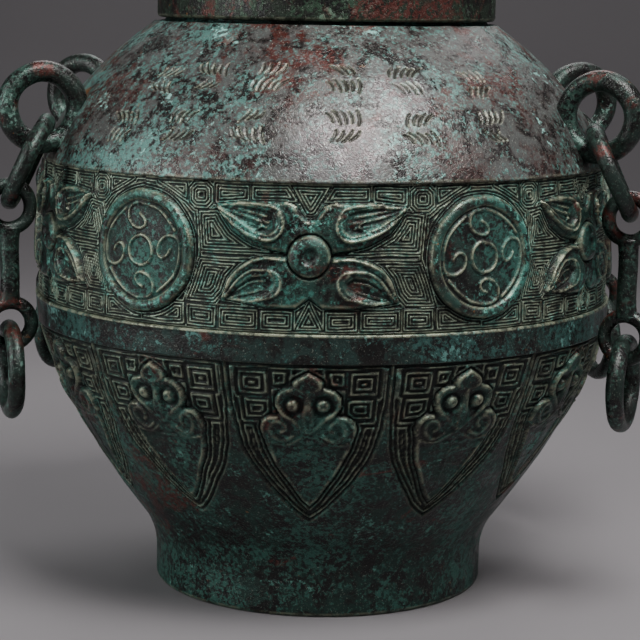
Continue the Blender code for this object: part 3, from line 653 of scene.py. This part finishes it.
def build_shoulder():
    """The smooth shoulder, whose front is fine enough for the shallow cuts."""
    sides = np.linspace(-180, 180, 20001)
    near = np.min([np.abs(sides - group[0]) for group in STROKE_GROUPS], axis=0)
    share = np.cumsum(0.35 + 2.0 * (near < STROKE_REACH[0]) + 0.35 * (np.abs(sides) < 50))
    shares = np.arange(SHOULDER_COLS) / SHOULDER_COLS * share[-1]
    angle = np.radians(np.interp(shares, share, sides))
    levels = np.linspace(BAND_TOP, SHOULDER_TOP, 4001)
    near = np.min([np.abs(levels - group[1]) for group in STROKE_GROUPS], axis=0)
    share = np.cumsum(0.45 + 1.0 * (near < STROKE_REACH[1]))
    level = np.interp(np.linspace(share[0], share[-1], SHOULDER_ROWS), share, levels)
    curve = np.stack([radius_at(SHOULDER, level), level], -1)
    along = np.concatenate([[0], np.cumsum(np.hypot(*(curve[1:] - curve[:-1]).T))])
    slope = np.gradient(curve, along, axis=0)
    normal = np.stack([slope[:, 1], -slope[:, 0]], -1)
    normal /= np.hypot(*normal.T)[:, None]
    turn, run = np.meshgrid(angle, along)
    radius = np.broadcast_to(curve[:, :1], turn.shape)
    height = np.zeros(turn.shape)
    edge = np.zeros(turn.shape)
    for degrees, level, upper, lower in STROKE_GROUPS:
        at = np.interp(level, curve[:, 1], along)
        x = (turn - radians(degrees)) * radius
        y = run - at
        for cut in fan(*upper, FAN_RISE) + fan(*lower, -FAN_RISE):
            raise_line(height, x, y, cut, (0.6, 0.85, 0.5), -STROKE_DEPTH)
            lip = np.zeros(height.shape)
            raise_line(lip, x, y, cut, (0.95, 1.25, 0.85), 1.0)
            edge = np.maximum(edge, lip)
    marks = {"cut": np.clip(-height / 0.45, 0, 1), "hollow": np.zeros(height.shape)}
    marks["worn"] = 0.6 * smoothstep(0.15, 0.6, edge) * (1 - marks["cut"])
    height = height + 0.22 * waves(turn * 120, run, 6, 60, 3)
    height[0] = 0
    place = curve[:, None, :] + normal[:, None, :] * height[..., None]
    points = round_places(place[..., 0], angle, place[..., 1])
    rim = round_places(np.array([[BAND_TOP_RADIUS - 1.5], [SHOULDER_RADIUS - 0.5]]), angle, BAND_TOP)
    points = np.concatenate([rim, points], axis=0)
    marks = {mark: np.concatenate([v[:1], v[:1], v], axis=0) for mark, v in marks.items()}
    marks["worn"][2:4] = np.maximum(marks["worn"][2:4], 0.25)
    # Painted shade under the shoulder's ledge
    marks["hollow"][:2] = 1.0
    return build_grid("shoulder", points, marks, wrap=True)


def lathe(name, profile, steps, worn=(), shake=0.0):
    """A turned surface from (radius, height) rows; worn gives rubbed rows and how bright they are."""
    profile = np.array(profile, float)
    angle = np.arange(steps) / steps * tau
    radius = np.broadcast_to(profile[:, :1], (len(profile), steps))
    if shake:
        radius = radius + shake * waves(angle[None, :] * 90, profile[:, 1:2], 4, 60, 4)
    rubbed = np.zeros((len(profile), 1))
    for row, share in worn:
        rubbed[row] = share
    points = round_places(radius, angle, profile[:, 1:2])
    return build_grid(name, points, {"worn": rubbed, "hollow": 0.0}, wrap=True)


def divided(a, b, step):
    """The points after a on the way to b, at most a step apart."""
    parts = max(1, int(np.ceil(np.hypot(b[0] - a[0], b[1] - a[1]) / step)))
    return [(a[0] + (b[0] - a[0]) * k / parts, a[1] + (b[1] - a[1]) * k / parts) for k in range(1, parts + 1)]


def rounded(centre, radius, start, end, count):
    angles = np.linspace(start, end, count + 1)
    return [(centre[0] + radius * cos(a), centre[1] + radius * sin(a)) for a in angles]


def build_strip():
    """The plain strip with its raised upper lip."""
    foot_radius = BODY_RADIUS - STRIP_LEAN
    profile = [(BODY_RADIUS - 4, STRIP_BOTTOM + 0.3), (foot_radius - 0.6, STRIP_BOTTOM)]
    profile += rounded((foot_radius - 0.7, STRIP_BOTTOM + 0.7), 0.7, -pi / 2, 0, 4)
    profile += [(foot_radius + 0.02, STRIP_BOTTOM + 4), (BODY_RADIUS - 0.5, STRIP_TOP - 4),
                (BODY_RADIUS - 0.45, STRIP_TOP - 2.2)]
    profile += rounded((BODY_RADIUS - 1.1, STRIP_TOP - 0.9), 1.0, -0.5, pi / 2, 6)
    profile += [(BODY_RADIUS - 4, STRIP_TOP - 0.4)]
    count = len(profile)
    worn = [(k, 0.75) for k in range(count - 7, count - 1)] + [(2, 0.2), (3, 0.3), (4, 0.2)]
    return lathe("plain_strip", profile, 300, worn, shake=0.12)


def build_foot():
    """The ring foot: its hollow, rounded edge and side, and the bend up into the body."""
    inner = FOOT_RADIUS - FOOT_WALL
    profile = [(0.01, FOOT_HOLLOW), (30, FOOT_HOLLOW), (60, FOOT_HOLLOW), (inner - 1.5, FOOT_HOLLOW)]
    profile += [(inner, FOOT_HOLLOW - 1.5), (inner, 12.0), (inner, 1.0), (inner + 0.8, 0.0)]
    profile += rounded((FOOT_RADIUS - FOOT_EDGE, FOOT_EDGE), FOOT_EDGE, -pi / 2, 0, 6)
    side_top = np.array((FOOT_RADIUS, FOOT_HEIGHT - 13))
    bend = np.array((FOOT_RADIUS, FOOT_HEIGHT + 1.4))
    meets = np.array((radius_at(LOWER, BEND_TOP), BEND_TOP))
    profile += [(FOOT_RADIUS, z) for z in np.linspace(5, side_top[1], 5)]
    for t in np.linspace(0.08, 1, 14):
        profile.append((1 - t) ** 2 * side_top + 2 * t * (1 - t) * bend + t * t * meets)
    profile.append((radius_at(LOWER, BEND_TOP + 3) - 0.5, BEND_TOP + 3))
    return lathe("foot", profile, 240, [(k, 0.35) for k in range(8, 14)])


def build_inside():
    """The neck and the jar's hollow inside."""
    profile = [(SHOULDER_TOP_RADIUS - 0.5, SHOULDER_TOP - 0.2), (NECK_RADIUS + 1.2, SHOULDER_TOP),
               (NECK_RADIUS, SHOULDER_TOP + 1.2), (NECK_RADIUS, NECK_TOP - 1)]
    profile += rounded((NECK_RADIUS - 1, NECK_TOP - 1), 1, 0, pi / 2, 3)
    profile += rounded((MOUTH_RADIUS + 1, NECK_TOP - 1), 1, pi / 2, pi, 3)
    profile += [(MOUTH_RADIUS, SHOULDER_TOP - WALL / 2)]
    profile += [(r - WALL, z - WALL / 2) for r, z in shoulder_wall(12)[::-1][1:]]
    profile += [(BODY_RADIUS - STRIP_PROUD - WALL, (STRIP_TOP + STRIP_BOTTOM) / 2)]
    profile += [(r - WALL, z) for r, z in lower_wall(14)[1:-1]]
    profile += [(LOWER_END_RADIUS - WALL, FLOOR_TOP + WALL), (LOWER_END_RADIUS - 2 * WALL, FLOOR_TOP),
                (0.01, FLOOR_TOP)]
    return lathe("neck_and_inside", profile, 128)


def build_lid():
    """The lift-off lid: skirt, flat dome and ring grip."""
    inner = LID_INNER_RADIUS
    grip_outer = GRIP_RADIUS + GRIP_FLARE
    grip_inner = GRIP_RADIUS - GRIP_WALL
    grip_top = LID_CROWN + GRIP_HEIGHT
    side_top = (LID_RADIUS, LID_SHOULDER - LID_ROUND)
    dome_start = (LID_RADIUS - LID_ROUND, LID_SHOULDER + LID_ROUND / 3)
    dome = swell(dome_start, (GRIP_RADIUS, LID_CROWN), (0.45, 0.05), 16)
    profile = [(0.01, LID_CROWN - LID_WALL), (GRIP_RADIUS, LID_CROWN - LID_WALL),
               (inner - 1, LID_CEILING), (inner, LID_CEILING - 1), (inner, LID_BOTTOM + 1),
               (inner + 0.5, LID_BOTTOM)]
    profile += rounded((LID_RADIUS - LID_EDGE, LID_BOTTOM + LID_EDGE), LID_EDGE, -pi / 2, 0, 6)
    profile += [(LID_RADIUS, z) for z in np.linspace(LID_BOTTOM + LID_EDGE + 1, side_top[1], 7)]
    profile += swell(side_top, dome_start, (1.0, 0.0), 8)[1:].tolist() + dome[1:].tolist()
    profile += divided(dome[-1], (grip_outer - 0.6, grip_top - 1.5), 3)
    profile += rounded((grip_outer - 1.2, grip_top - 1.2), 1.2, 0, pi / 2, 4)
    profile += rounded((grip_inner + GRIP_FLARE + 1.2, grip_top - 1.2), 1.2, pi / 2, pi, 4)
    profile += [(grip_inner + 0.6, LID_CROWN + 1.5), (grip_inner - 1, LID_CROWN + 0.3), (0.01, LID_CROWN)]
    return lathe("lid_visual", profile, 180, [(k, 0.3) for k in range(7, 12)])


def upright(angle, radius, height, lean=0.0, turn=0.0):
    """A place at an angle round the jar, turned to face outwards, then leant and turned."""
    return (Matrix.Rotation(angle - pi / 2, 4, "Z") @ Matrix.Translation((radius, 0, height))
            @ Matrix.Rotation(-lean, 4, "Y") @ Matrix.Rotation(turn, 4, "Z"))


def placed(points, matrix):
    return points @ np.array(matrix.to_3x3()).T + np.array(matrix.translation)


def cast_ring(name, size, seed, matrix):
    """A placed ring; size is its radius, its wire's and the steps of its mesh along and around."""
    radius, wire, steps, around = size
    u, v = np.meshgrid(np.arange(steps) / steps * tau, np.arange(around) / around * tau)
    uneven = 1 + 0.03 * np.sin(u * 2 + seed) + 0.02 * np.sin(u * 5 + 2 * seed + v)
    bar = wire * uneven + RING_SHAKE * np.sin(3 * v + 2 * u + seed)
    r = radius + bar * np.cos(v)
    points = np.stack([r * np.cos(u), bar * np.sin(v), r * np.sin(u)], -1)
    index = np.pad(np.arange(u.size).reshape(u.shape), (0, 1), "wrap")
    return build_mesh(name, placed(points, matrix), corners(index)[:, ::-1], {"worn": 0.0, "hollow": 0.0})


def build_bar(matrix, seed):
    """The bar of a link, swelling into its eyes at both ends."""
    steps, around = 40, 20
    length = BAR_SPAN - 2 * EYE_RADIUS + 2 * EYE_WIRE * 0.6
    s = np.linspace(-1, 1, steps)
    a = np.arange(around) / around * tau
    flare = 1 + 0.16 * np.abs(s) ** 6
    wide = BAR_WIRE * (flare + 0.55 * np.abs(s) ** 10)
    deep = BAR_WIRE * flare * (1 - 0.22 * np.abs(s) ** 6)
    close = np.sqrt(np.clip(1 - ((np.abs(s) - 0.965) / 0.035).clip(0, 1) ** 2, 0.02, 1))
    uneven = 1 + 0.03 * np.sin(5 * s + seed)[:, None] * np.cos(a + seed)[None, :]
    x = (wide * close)[:, None] * np.cos(a) * uneven
    y = (deep * close)[:, None] * np.sin(a) * uneven
    z = np.broadcast_to((s * length / 2)[:, None], x.shape)
    points = placed(np.stack([x, y, z], -1), matrix)
    return build_grid("bar", points, {"worn": 0.0, "hollow": 0.0}, wrap=True)


def joined(name, parts):
    """One object from several, so that a link is one piece."""
    bpy.ops.object.select_all(action="DESELECT")
    for thing in parts:
        thing.select_set(True)
    bpy.context.view_layer.objects.active = parts[0]
    bpy.ops.object.join()
    parts[0].name = name
    return parts[0]


def build_chains():
    """The shoulder loops, and in each a ring, a bar link and a pull ring."""
    loops, chains = [], []
    centre = float(radius_at(SHOULDER, LOOP_CENTRE_HEIGHT)) + LOOP_STAND
    drop = LOOP_RADIUS - LOOP_WIRE - UPPER_RING_WIRE - CHAIN_GAP
    top_radius = centre - drop * sin(UPPER_RING_SEAT)
    top_height = LOOP_CENTRE_HEIGHT - drop * cos(UPPER_RING_SEAT)
    bar_radius = BODY_RADIUS + BAR_STAND
    lean = asin((bar_radius - top_radius) / (2 * UPPER_RING_RADIUS))
    ring_height = top_height - UPPER_RING_RADIUS * cos(lean)
    eye_height = (ring_height - UPPER_RING_RADIUS * cos(lean)
                  - (EYE_RADIUS - EYE_WIRE - UPPER_RING_WIRE - CHAIN_GAP))
    pull_height = (eye_height - BAR_SPAN - (EYE_RADIUS - EYE_WIRE - PULL_RING_WIRE - CHAIN_GAP)
                   - PULL_RING_RADIUS)
    for number, (place, (angle, upper_turn, pull_turn)) in enumerate(PLACES.items()):
        matrix = upright(angle, centre, LOOP_CENTRE_HEIGHT)
        loops.append(cast_ring(f"loop_{place}", (LOOP_RADIUS, LOOP_WIRE, 80, 22), number, matrix))
        matrix = upright(angle, (top_radius + bar_radius) / 2, ring_height, lean, upper_turn + pi / 2)
        size = (UPPER_RING_RADIUS, UPPER_RING_WIRE, 80, 20)
        ring = cast_ring(f"upper_ring_bronze_{place}", size, number + 4, matrix)
        matrix = upright(angle, bar_radius, eye_height - BAR_SPAN / 2)
        parts = [build_bar(matrix, number)]
        for side in (-1, 1):
            shifted = matrix @ Matrix.Translation((0, 0, side * BAR_SPAN / 2))
            parts.append(cast_ring("eye", (EYE_RADIUS, EYE_WIRE, 56, 18), number + side, shifted))
        link = joined(f"bar_link_bronze_{place}", parts)
        matrix = upright(angle, bar_radius, pull_height, 0.0, pull_turn + pi / 2)
        size = (PULL_RING_RADIUS, PULL_RING_WIRE, 80, 20)
        pull = cast_ring(f"pull_ring_bronze_{place}", size, number + 8, matrix)
        chains += [(ring, f"upper_ring_{place}"), (link, f"bar_link_{place}"), (pull, f"pull_ring_{place}")]
    return loops, chains


class Shader:
    """Short calls to build a material's nodes."""

    def __init__(self, name):
        self.material = bpy.data.materials.new(name)
        self.material.use_nodes = True
        self.tree = self.material.node_tree
        self.surface = self.tree.nodes["Principled BSDF"]
        self.place = self.make("ShaderNodeTexCoord").outputs["Object"]
        axes = self.make("ShaderNodeSeparateXYZ", {0: self.place}).outputs
        self.side, self.height = axes["X"], axes["Z"]

    def make(self, kind, inputs=None, **settings):
        node = self.tree.nodes.new(kind)
        for key, value in settings.items():
            setattr(node, key, value)
        self.fill(node, inputs or {})
        return node

    def fill(self, node, inputs):
        for key, value in inputs.items():
            if isinstance(value, bpy.types.NodeSocket):
                self.tree.links.new(value, node.inputs[key])
            else:
                node.inputs[key].default_value = value

    def noise(self, kind, offset=(0, 0, 0), shift=(0, 0, 0)):
        """A noise of one kind, moved by an offset and a shift so that it repeats no other."""
        moved = self.make("ShaderNodeMapping", {"Vector": self.place, "Location": np.add(offset, shift)})
        inputs = dict(zip(("Scale", "Detail", "Roughness", "Distortion"), kind), Vector=moved.outputs[0])
        return self.make("ShaderNodeTexNoise", inputs).outputs["Fac"]

    def ramp(self, value, low, high, bottom=0.0, top=1.0):
        """A smooth step from bottom to top while value goes from low to high."""
        inputs = {"Value": value, "From Min": low, "From Max": high, "To Min": bottom, "To Max": top}
        return self.make("ShaderNodeMapRange", inputs, interpolation_type="SMOOTHSTEP").outputs["Result"]

    def maths(self, operation, a, b=0.0):
        return self.make("ShaderNodeMath", {0: a, 1: b}, operation=operation).outputs[0]

    def times(self, a, b):
        return self.maths("MULTIPLY", a, b)

    def plus(self, a, b):
        return self.maths("ADD", a, b)

    def minus(self, a, b):
        return self.maths("SUBTRACT", a, b)

    def blend(self, a, b, share):
        return self.plus(self.times(a, share), self.times(b, 1 - share))

    def mark(self, name):
        return self.make("ShaderNodeAttribute", attribute_name=name).outputs["Fac"]

    def near(self, place, reach, breakup):
        """A share that fades away from a place on the object, broken up by a noise."""
        away = self.make("ShaderNodeVectorMath", {0: self.place, 1: place}, operation="DISTANCE")
        fade = self.ramp(away.outputs["Value"], 0.0, reach, 1.0, 0.0)
        field = self.plus(fade, self.times(self.minus(breakup, 0.5), 1.6))
        return self.times(self.ramp(field, 0.35, 0.75), self.ramp(fade, 0.0, 0.2))

    def mix(self, share, a, b):
        """Colour a, or b where share is 1; each is a socket or three numbers."""
        a, b = [(*c, 1) if isinstance(c, tuple) else c for c in (a, b)]
        return self.make("ShaderNodeMix", {0: share, 6: a, 7: b}, data_type="RGBA").outputs[2]


# Noises of the bronzes: scale, detail, roughness and distortion
LARGE = (24, 3, 0.55, 0.3)
MEDIUM = (105, 4, 0.6, 0.5)
SMALL = (430, 5, 0.68, 0.3)
SMALL_ASIDE = (360, 5, 0.7, 0.2)
GRAIN = (1150, 3, 0.6, 0.0)
BLOTS = (42, 3, 0.6, 0.6)
REDS = (30, 4, 0.62, 0.8)
RUSTS = (150, 3, 0.6, 0.5)
BREAKS = (190, 4, 0.7, 0.0)
# Colours that all the bronzes share
BLACK = (0.009, 0.009, 0.009)
RED_BROWN = (0.085, 0.020, 0.015)
RUST = (0.27, 0.115, 0.035)
PAINTED_REFLECTION_GREY = (0.21, 0.185, 0.19)
PALE_SPECKS = (0.36, 0.40, 0.33)
PAINTED_SHADE_AND_DIRT = (0.005, 0.007, 0.006)
CUT_DARKENING = (0.022, 0.020, 0.014)
RUBBED_LINES = (0.37, 0.49, 0.38)
RUBBED_EDGES = (0.42, 0.45, 0.31)
# Places on the shoulder: two grey patches in front, a painted reflection of the key light, and rust under the
# loops' roots
PAINTED_REFLECTION_PLACES = [((0.040, -0.116, 0.262), 0.034), ((0.010, -0.141, 0.235), 0.050)]
LOOP_ROOTS = [((-0.121, -0.050, 0.254), 0.014), ((0.118, -0.060, 0.262), 0.010),
              ((-0.116, 0.062, 0.255), 0.012)]


def bronze(name, dark, green, teal, crusts, reds, roughness, ground=0.0, shoulder=False, left=0.0,
           low=0.0, offset=(0, 0, 0)):
    """Corroded bronze: brown-black metal under mottled greens, red-brown and rust, with rubbed edges.

    crusts and reds are how far the green crusts and the red-brown spread, ground is how bright the
    crests of the line ground are, and left and low are how much greener the jar's left side and its
    foot are; the left side's green is partly crust and partly painted light where the left lamp falls.
    """
    s = Shader(name)
    large = s.noise(LARGE, offset)
    medium = s.noise(MEDIUM, offset)
    small = s.noise(SMALL, offset)
    grain = s.noise(GRAIN, offset)
    aside = (0.37, -0.21, 0.4)
    small_aside = s.noise(SMALL_ASIDE, offset, aside)
    colour = s.mix(s.ramp(medium, 0.40, 0.60), dark, green)
    mottle = s.blend(small, large, 0.6)
    # Partly painted light: the left side, which the left lamp lights, gets more green crust
    if left:
        mottle = s.plus(mottle, s.ramp(s.side, -0.12, 0.02, left, 0.0))
    if low:
        mottle = s.plus(mottle, s.ramp(s.height, 0.0, 0.07, low, 0.0))
    colour = s.mix(s.ramp(mottle, 0.50 - crusts, 0.585 - crusts, 0.0, 0.9), colour, teal)
    blot = s.blend(small_aside, s.noise(BLOTS, offset, aside), 0.5)
    crust = s.ramp(blot, 0.585 - crusts, 0.625 - crusts)
    malachite = tuple(min(0.8, c * 2.1 + 0.02) for c in teal)
    colour = s.mix(s.times(crust, 0.85), colour, malachite)
    black = s.ramp(s.blend(small, medium, 0.5), 0.495, 0.435)
    colour = s.mix(s.times(black, 0.85), colour, BLACK)
    red = s.ramp(s.noise(REDS, offset, (-0.5, 0.1, 0.2)), 0.60 - reds, 0.67 - reds)
    if shoulder:
        red = s.times(red, s.ramp(s.height, 0.240, 0.275, 0.35, 1.0))
    red = s.times(red, s.ramp(small_aside, 0.43, 0.53))
    colour = s.mix(s.times(red, 0.9), colour, RED_BROWN)
    rust = s.ramp(s.noise(RUSTS, offset, (-0.9, 0.6, 0)), 0.70, 0.77)
    rust = s.times(rust, 0.7)
    if shoulder:
        for place, reach in LOOP_ROOTS:
            rust = s.maths("MAXIMUM", rust, s.near(place, reach, small_aside))
    colour = s.mix(rust, colour, RUST)
    # Painted reflection: grey patches where the key light's highlight falls on the front of the shoulder
    if shoulder:
        for place, reach in PAINTED_REFLECTION_PLACES:
            colour = s.mix(s.times(s.near(place, reach, small), 0.45), colour, PAINTED_REFLECTION_GREY)
    # The shoulder gets more pale specks: partly its own crust, partly painted light on the lit shoulder
    specks = s.ramp(grain, 0.60, 0.70)
    colour = s.mix(s.times(specks, 0.65 if shoulder else 0.35), colour, PALE_SPECKS)
    worn, hollow = s.mark("worn"), s.mark("hollow")
    broken = s.ramp(s.noise(BREAKS, offset), 0.40, 0.60, 0.15, 1.0)
    bump_height = s.times(small, 0.35)
    if ground:
        depth = s.mark("ground")
        phase = s.maths("FRACT", depth)
        line = s.minus(s.ramp(phase, 0.24, 0.38), s.ramp(phase, 0.70, 0.84))
        lined = s.ramp(depth, 0.0, 0.05)
        # Painted shade and dirt in the grooves between the ground's lines
        colour = s.mix(s.times(s.times(lined, s.minus(1.0, line)), 0.88), colour, PAINTED_SHADE_AND_DIRT)
        crest = s.minus(s.ramp(phase, 0.34, 0.46), s.ramp(phase, 0.60, 0.72))
        rubbed = s.times(s.times(lined, crest), broken)
        colour = s.mix(s.times(rubbed, ground), colour, RUBBED_LINES)
        bump_height = s.plus(bump_height, s.times(s.times(lined, line), 0.8))
    # Painted shade and dirt where the relief lies low and under the ledges
    colour = s.mix(s.times(hollow, 0.9), colour, PAINTED_SHADE_AND_DIRT)
    # The cuts are made darker, the more so the deeper they are
    if shoulder:
        colour = s.mix(s.times(s.mark("cut"), 0.9), colour, CUT_DARKENING)
    colour = s.mix(s.times(s.times(worn, broken), 0.85), colour, RUBBED_EDGES)
    rough = s.ramp(medium, 0.35, 0.65, roughness - 0.05, roughness + 0.15)
    rough = s.plus(s.plus(rough, s.times(crust, 0.2)), s.times(hollow, 0.3))
    metal = s.minus(0.45, s.times(crust, 0.4))
    cells = s.make("ShaderNodeTexVoronoi", {"Vector": s.place, "Scale": 520.0}, feature="DISTANCE_TO_EDGE")
    pits = s.ramp(cells.outputs[0], 0.0, 0.14)
    for field, share in ((pits, 0.10), (crust, 0.15), (grain, 0.15)):
        bump_height = s.plus(bump_height, s.times(field, share))
    bump = s.make("ShaderNodeBump", {"Height": bump_height, "Strength": 0.7, "Distance": 0.0008})
    s.fill(s.surface, {"Base Color": colour, "Roughness": rough, "Metallic": metal,
                       "Normal": bump.outputs[0], "Specular IOR Level": 0.6})
    return s.material


def plain(name, colour, roughness):
    s = Shader(name)
    shade = s.mix(s.ramp(s.noise((3, 2, 0.5, 0.0)), 0.3, 0.7), colour, tuple(c * 0.96 for c in colour))
    s.fill(s.surface, {"Base Color": shade, "Roughness": roughness})
    return s.material


band_bronze = bronze(
    "band bronze", (0.024, 0.021, 0.018), (0.022, 0.064, 0.050), (0.058, 0.215, 0.172),
    crusts=0.01, reds=0.01, roughness=0.34, ground=0.66)
# The blade bronze is darker than the band's and shoulder's: partly the lower body's own dark tone, partly
# painted shade, as the light from above leaves the lower body dark
blade_bronze = bronze(
    "blade bronze", (0.015, 0.013, 0.011), (0.014, 0.038, 0.030), (0.038, 0.130, 0.102),
    crusts=0.0, reds=0.015, roughness=0.36, ground=0.20, left=0.03, low=0.03, offset=(0.3, 0.1, 0.2))
# The shoulder bronze is lighter than the rest: partly its own grey-brown crust, partly painted light, as the
# key light falls on the shoulder
shoulder_bronze = bronze(
    "shoulder bronze", (0.066, 0.050, 0.047), (0.094, 0.098, 0.093), (0.110, 0.260, 0.228),
    crusts=-0.005, reds=0.095, roughness=0.32, shoulder=True, left=0.03)
plain_bronze = bronze(
    "plain bronze", (0.018, 0.016, 0.014), (0.018, 0.040, 0.034), (0.040, 0.120, 0.105),
    crusts=0.01, reds=0.0, roughness=0.38, offset=(0.5, 0.2, 0.7))
lid_bronze = bronze(
    "lid bronze", (0.010, 0.009, 0.006), (0.013, 0.024, 0.014), (0.034, 0.070, 0.042),
    crusts=-0.01, reds=0.06, roughness=0.42, offset=(0.9, 0.4, 0.1))
chain_bronze = bronze(
    "chain bronze", (0.013, 0.012, 0.010), (0.016, 0.030, 0.024), (0.045, 0.100, 0.078),
    crusts=0.0, reds=0.03, roughness=0.30, offset=(0.2, 0.8, 0.5))


def finish_pieces(things, material):
    for thing in things:
        thing.data.materials.append(material)
        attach(thing, "root")


band = build_band()
lower = build_lower_body()
shoulder = build_shoulder()
strip = build_strip()
foot = build_foot()
hollow_inside = build_inside()
loops, chains = build_chains()
lid = build_lid()
finish_pieces(band, band_bronze)
finish_pieces(lower + [foot], blade_bronze)
finish_pieces([shoulder], shoulder_bronze)
finish_pieces([strip, hollow_inside], plain_bronze)
finish_pieces(loops, chain_bronze)
finish_pieces([lid], lid_bronze)
for thing in band + lower + [shoulder, strip, foot, hollow_inside] + loops:
    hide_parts("jar")
for thing, node in chains:
    finish_pieces([thing], chain_bronze)
    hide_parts(node)
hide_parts("lid")


FLOOR_START = -3.0
FLOOR_SIDE = 2.6
FLOOR_COLOUR = (0.245, 0.231, 0.240)
WORLD_COLOUR = (0.62, 0.60, 0.64, 1)
WORLD_STRENGTH = 0.14
IMAGE_WIDTH = 640
FOCAL_PIXELS = 2038


def build_stage():
    """A plain pale floor that curves up into a backdrop, from (depth, height) pairs in metres."""
    profile = [(0.6, 0.0), (0.9, 0.0), (1.2, 0.010), (1.45, 0.05), (1.65, 0.14), (1.78, 0.28),
               (1.85, 0.48), (1.88, 0.75), (1.9, 1.1), (1.9, 1.5)]
    line = np.vstack([[(FLOOR_START, 0.0)], smoothed(profile, 8)])
    verts = [(x, y, z) for y, z in line for x in (-FLOOR_SIDE, FLOOR_SIDE)]
    faces = [(2 * i, 2 * i + 1, 2 * i + 3, 2 * i + 2) for i in range(len(line) - 1)]
    mesh = bpy.data.meshes.new("floor")
    mesh.from_pydata(verts, [], faces)
    mesh.shade_smooth()
    floor = bpy.data.objects.new("floor", mesh)
    bpy.context.scene.collection.objects.link(floor)
    mesh.materials.append(plain("pale floor", FLOOR_COLOUR, 0.8))


def area_light(name, place, target, size, power, colour=(1, 1, 1)):
    data = bpy.data.lights.new(name, "AREA")
    data.shape = "RECTANGLE"
    data.size, data.size_y = size
    data.energy = power
    data.color = colour
    thing = bpy.data.objects.new(name, data)
    thing.location = place
    thing.rotation_euler = (Vector(target) - Vector(place)).to_track_quat("-Z", "Y").to_euler()
    bpy.context.scene.collection.objects.link(thing)


def build_camera():
    """The photograph's view: the jar's front turned a little to the left of the camera's line."""
    swing, pitch, roll = radians(2.3), radians(9.19), radians(0.92)
    distance, height, aside = 1.065, 0.3087, -0.0008
    data = bpy.data.cameras.new("camera")
    data.sensor_width = 36.0
    data.lens = FOCAL_PIXELS / IMAGE_WIDTH * data.sensor_width
    data.clip_start = 0.05
    camera = bpy.data.objects.new("camera", data)
    stand = Matrix.Rotation(swing, 4, "Z") @ Matrix.Translation((aside, -distance, height))
    camera.matrix_world = stand @ Matrix.Rotation(pi / 2 - pitch, 4, "X") @ Matrix.Rotation(roll, 4, "Z")
    bpy.context.scene.collection.objects.link(camera)
    bpy.context.scene.camera = camera


build_stage()
area_light("key", (0.26, -0.50, 0.98), (0, -0.05, 0.2), (0.42, 0.42), 12.2, (1.0, 0.985, 0.98))
area_light("left", (-1.0, -0.55, 0.5), (0, 0, 0.15), (0.4, 0.8), 7, (0.97, 1.0, 1.0))
area_light("right", (1.1, -0.2, 0.6), (0, 0, 0.2), (0.3, 0.7), 1.2, (1.0, 0.98, 1.0))
area_light("back", (0.1, 0.7, 1.0), (0, 0.1, 0.25), (1.0, 0.4), 6)
world = bpy.data.worlds.new("studio")
world.use_nodes = True
world.node_tree.nodes["Background"].inputs[0].default_value = WORLD_COLOUR
world.node_tree.nodes["Background"].inputs[1].default_value = WORLD_STRENGTH
bpy.context.scene.world = world
build_camera()
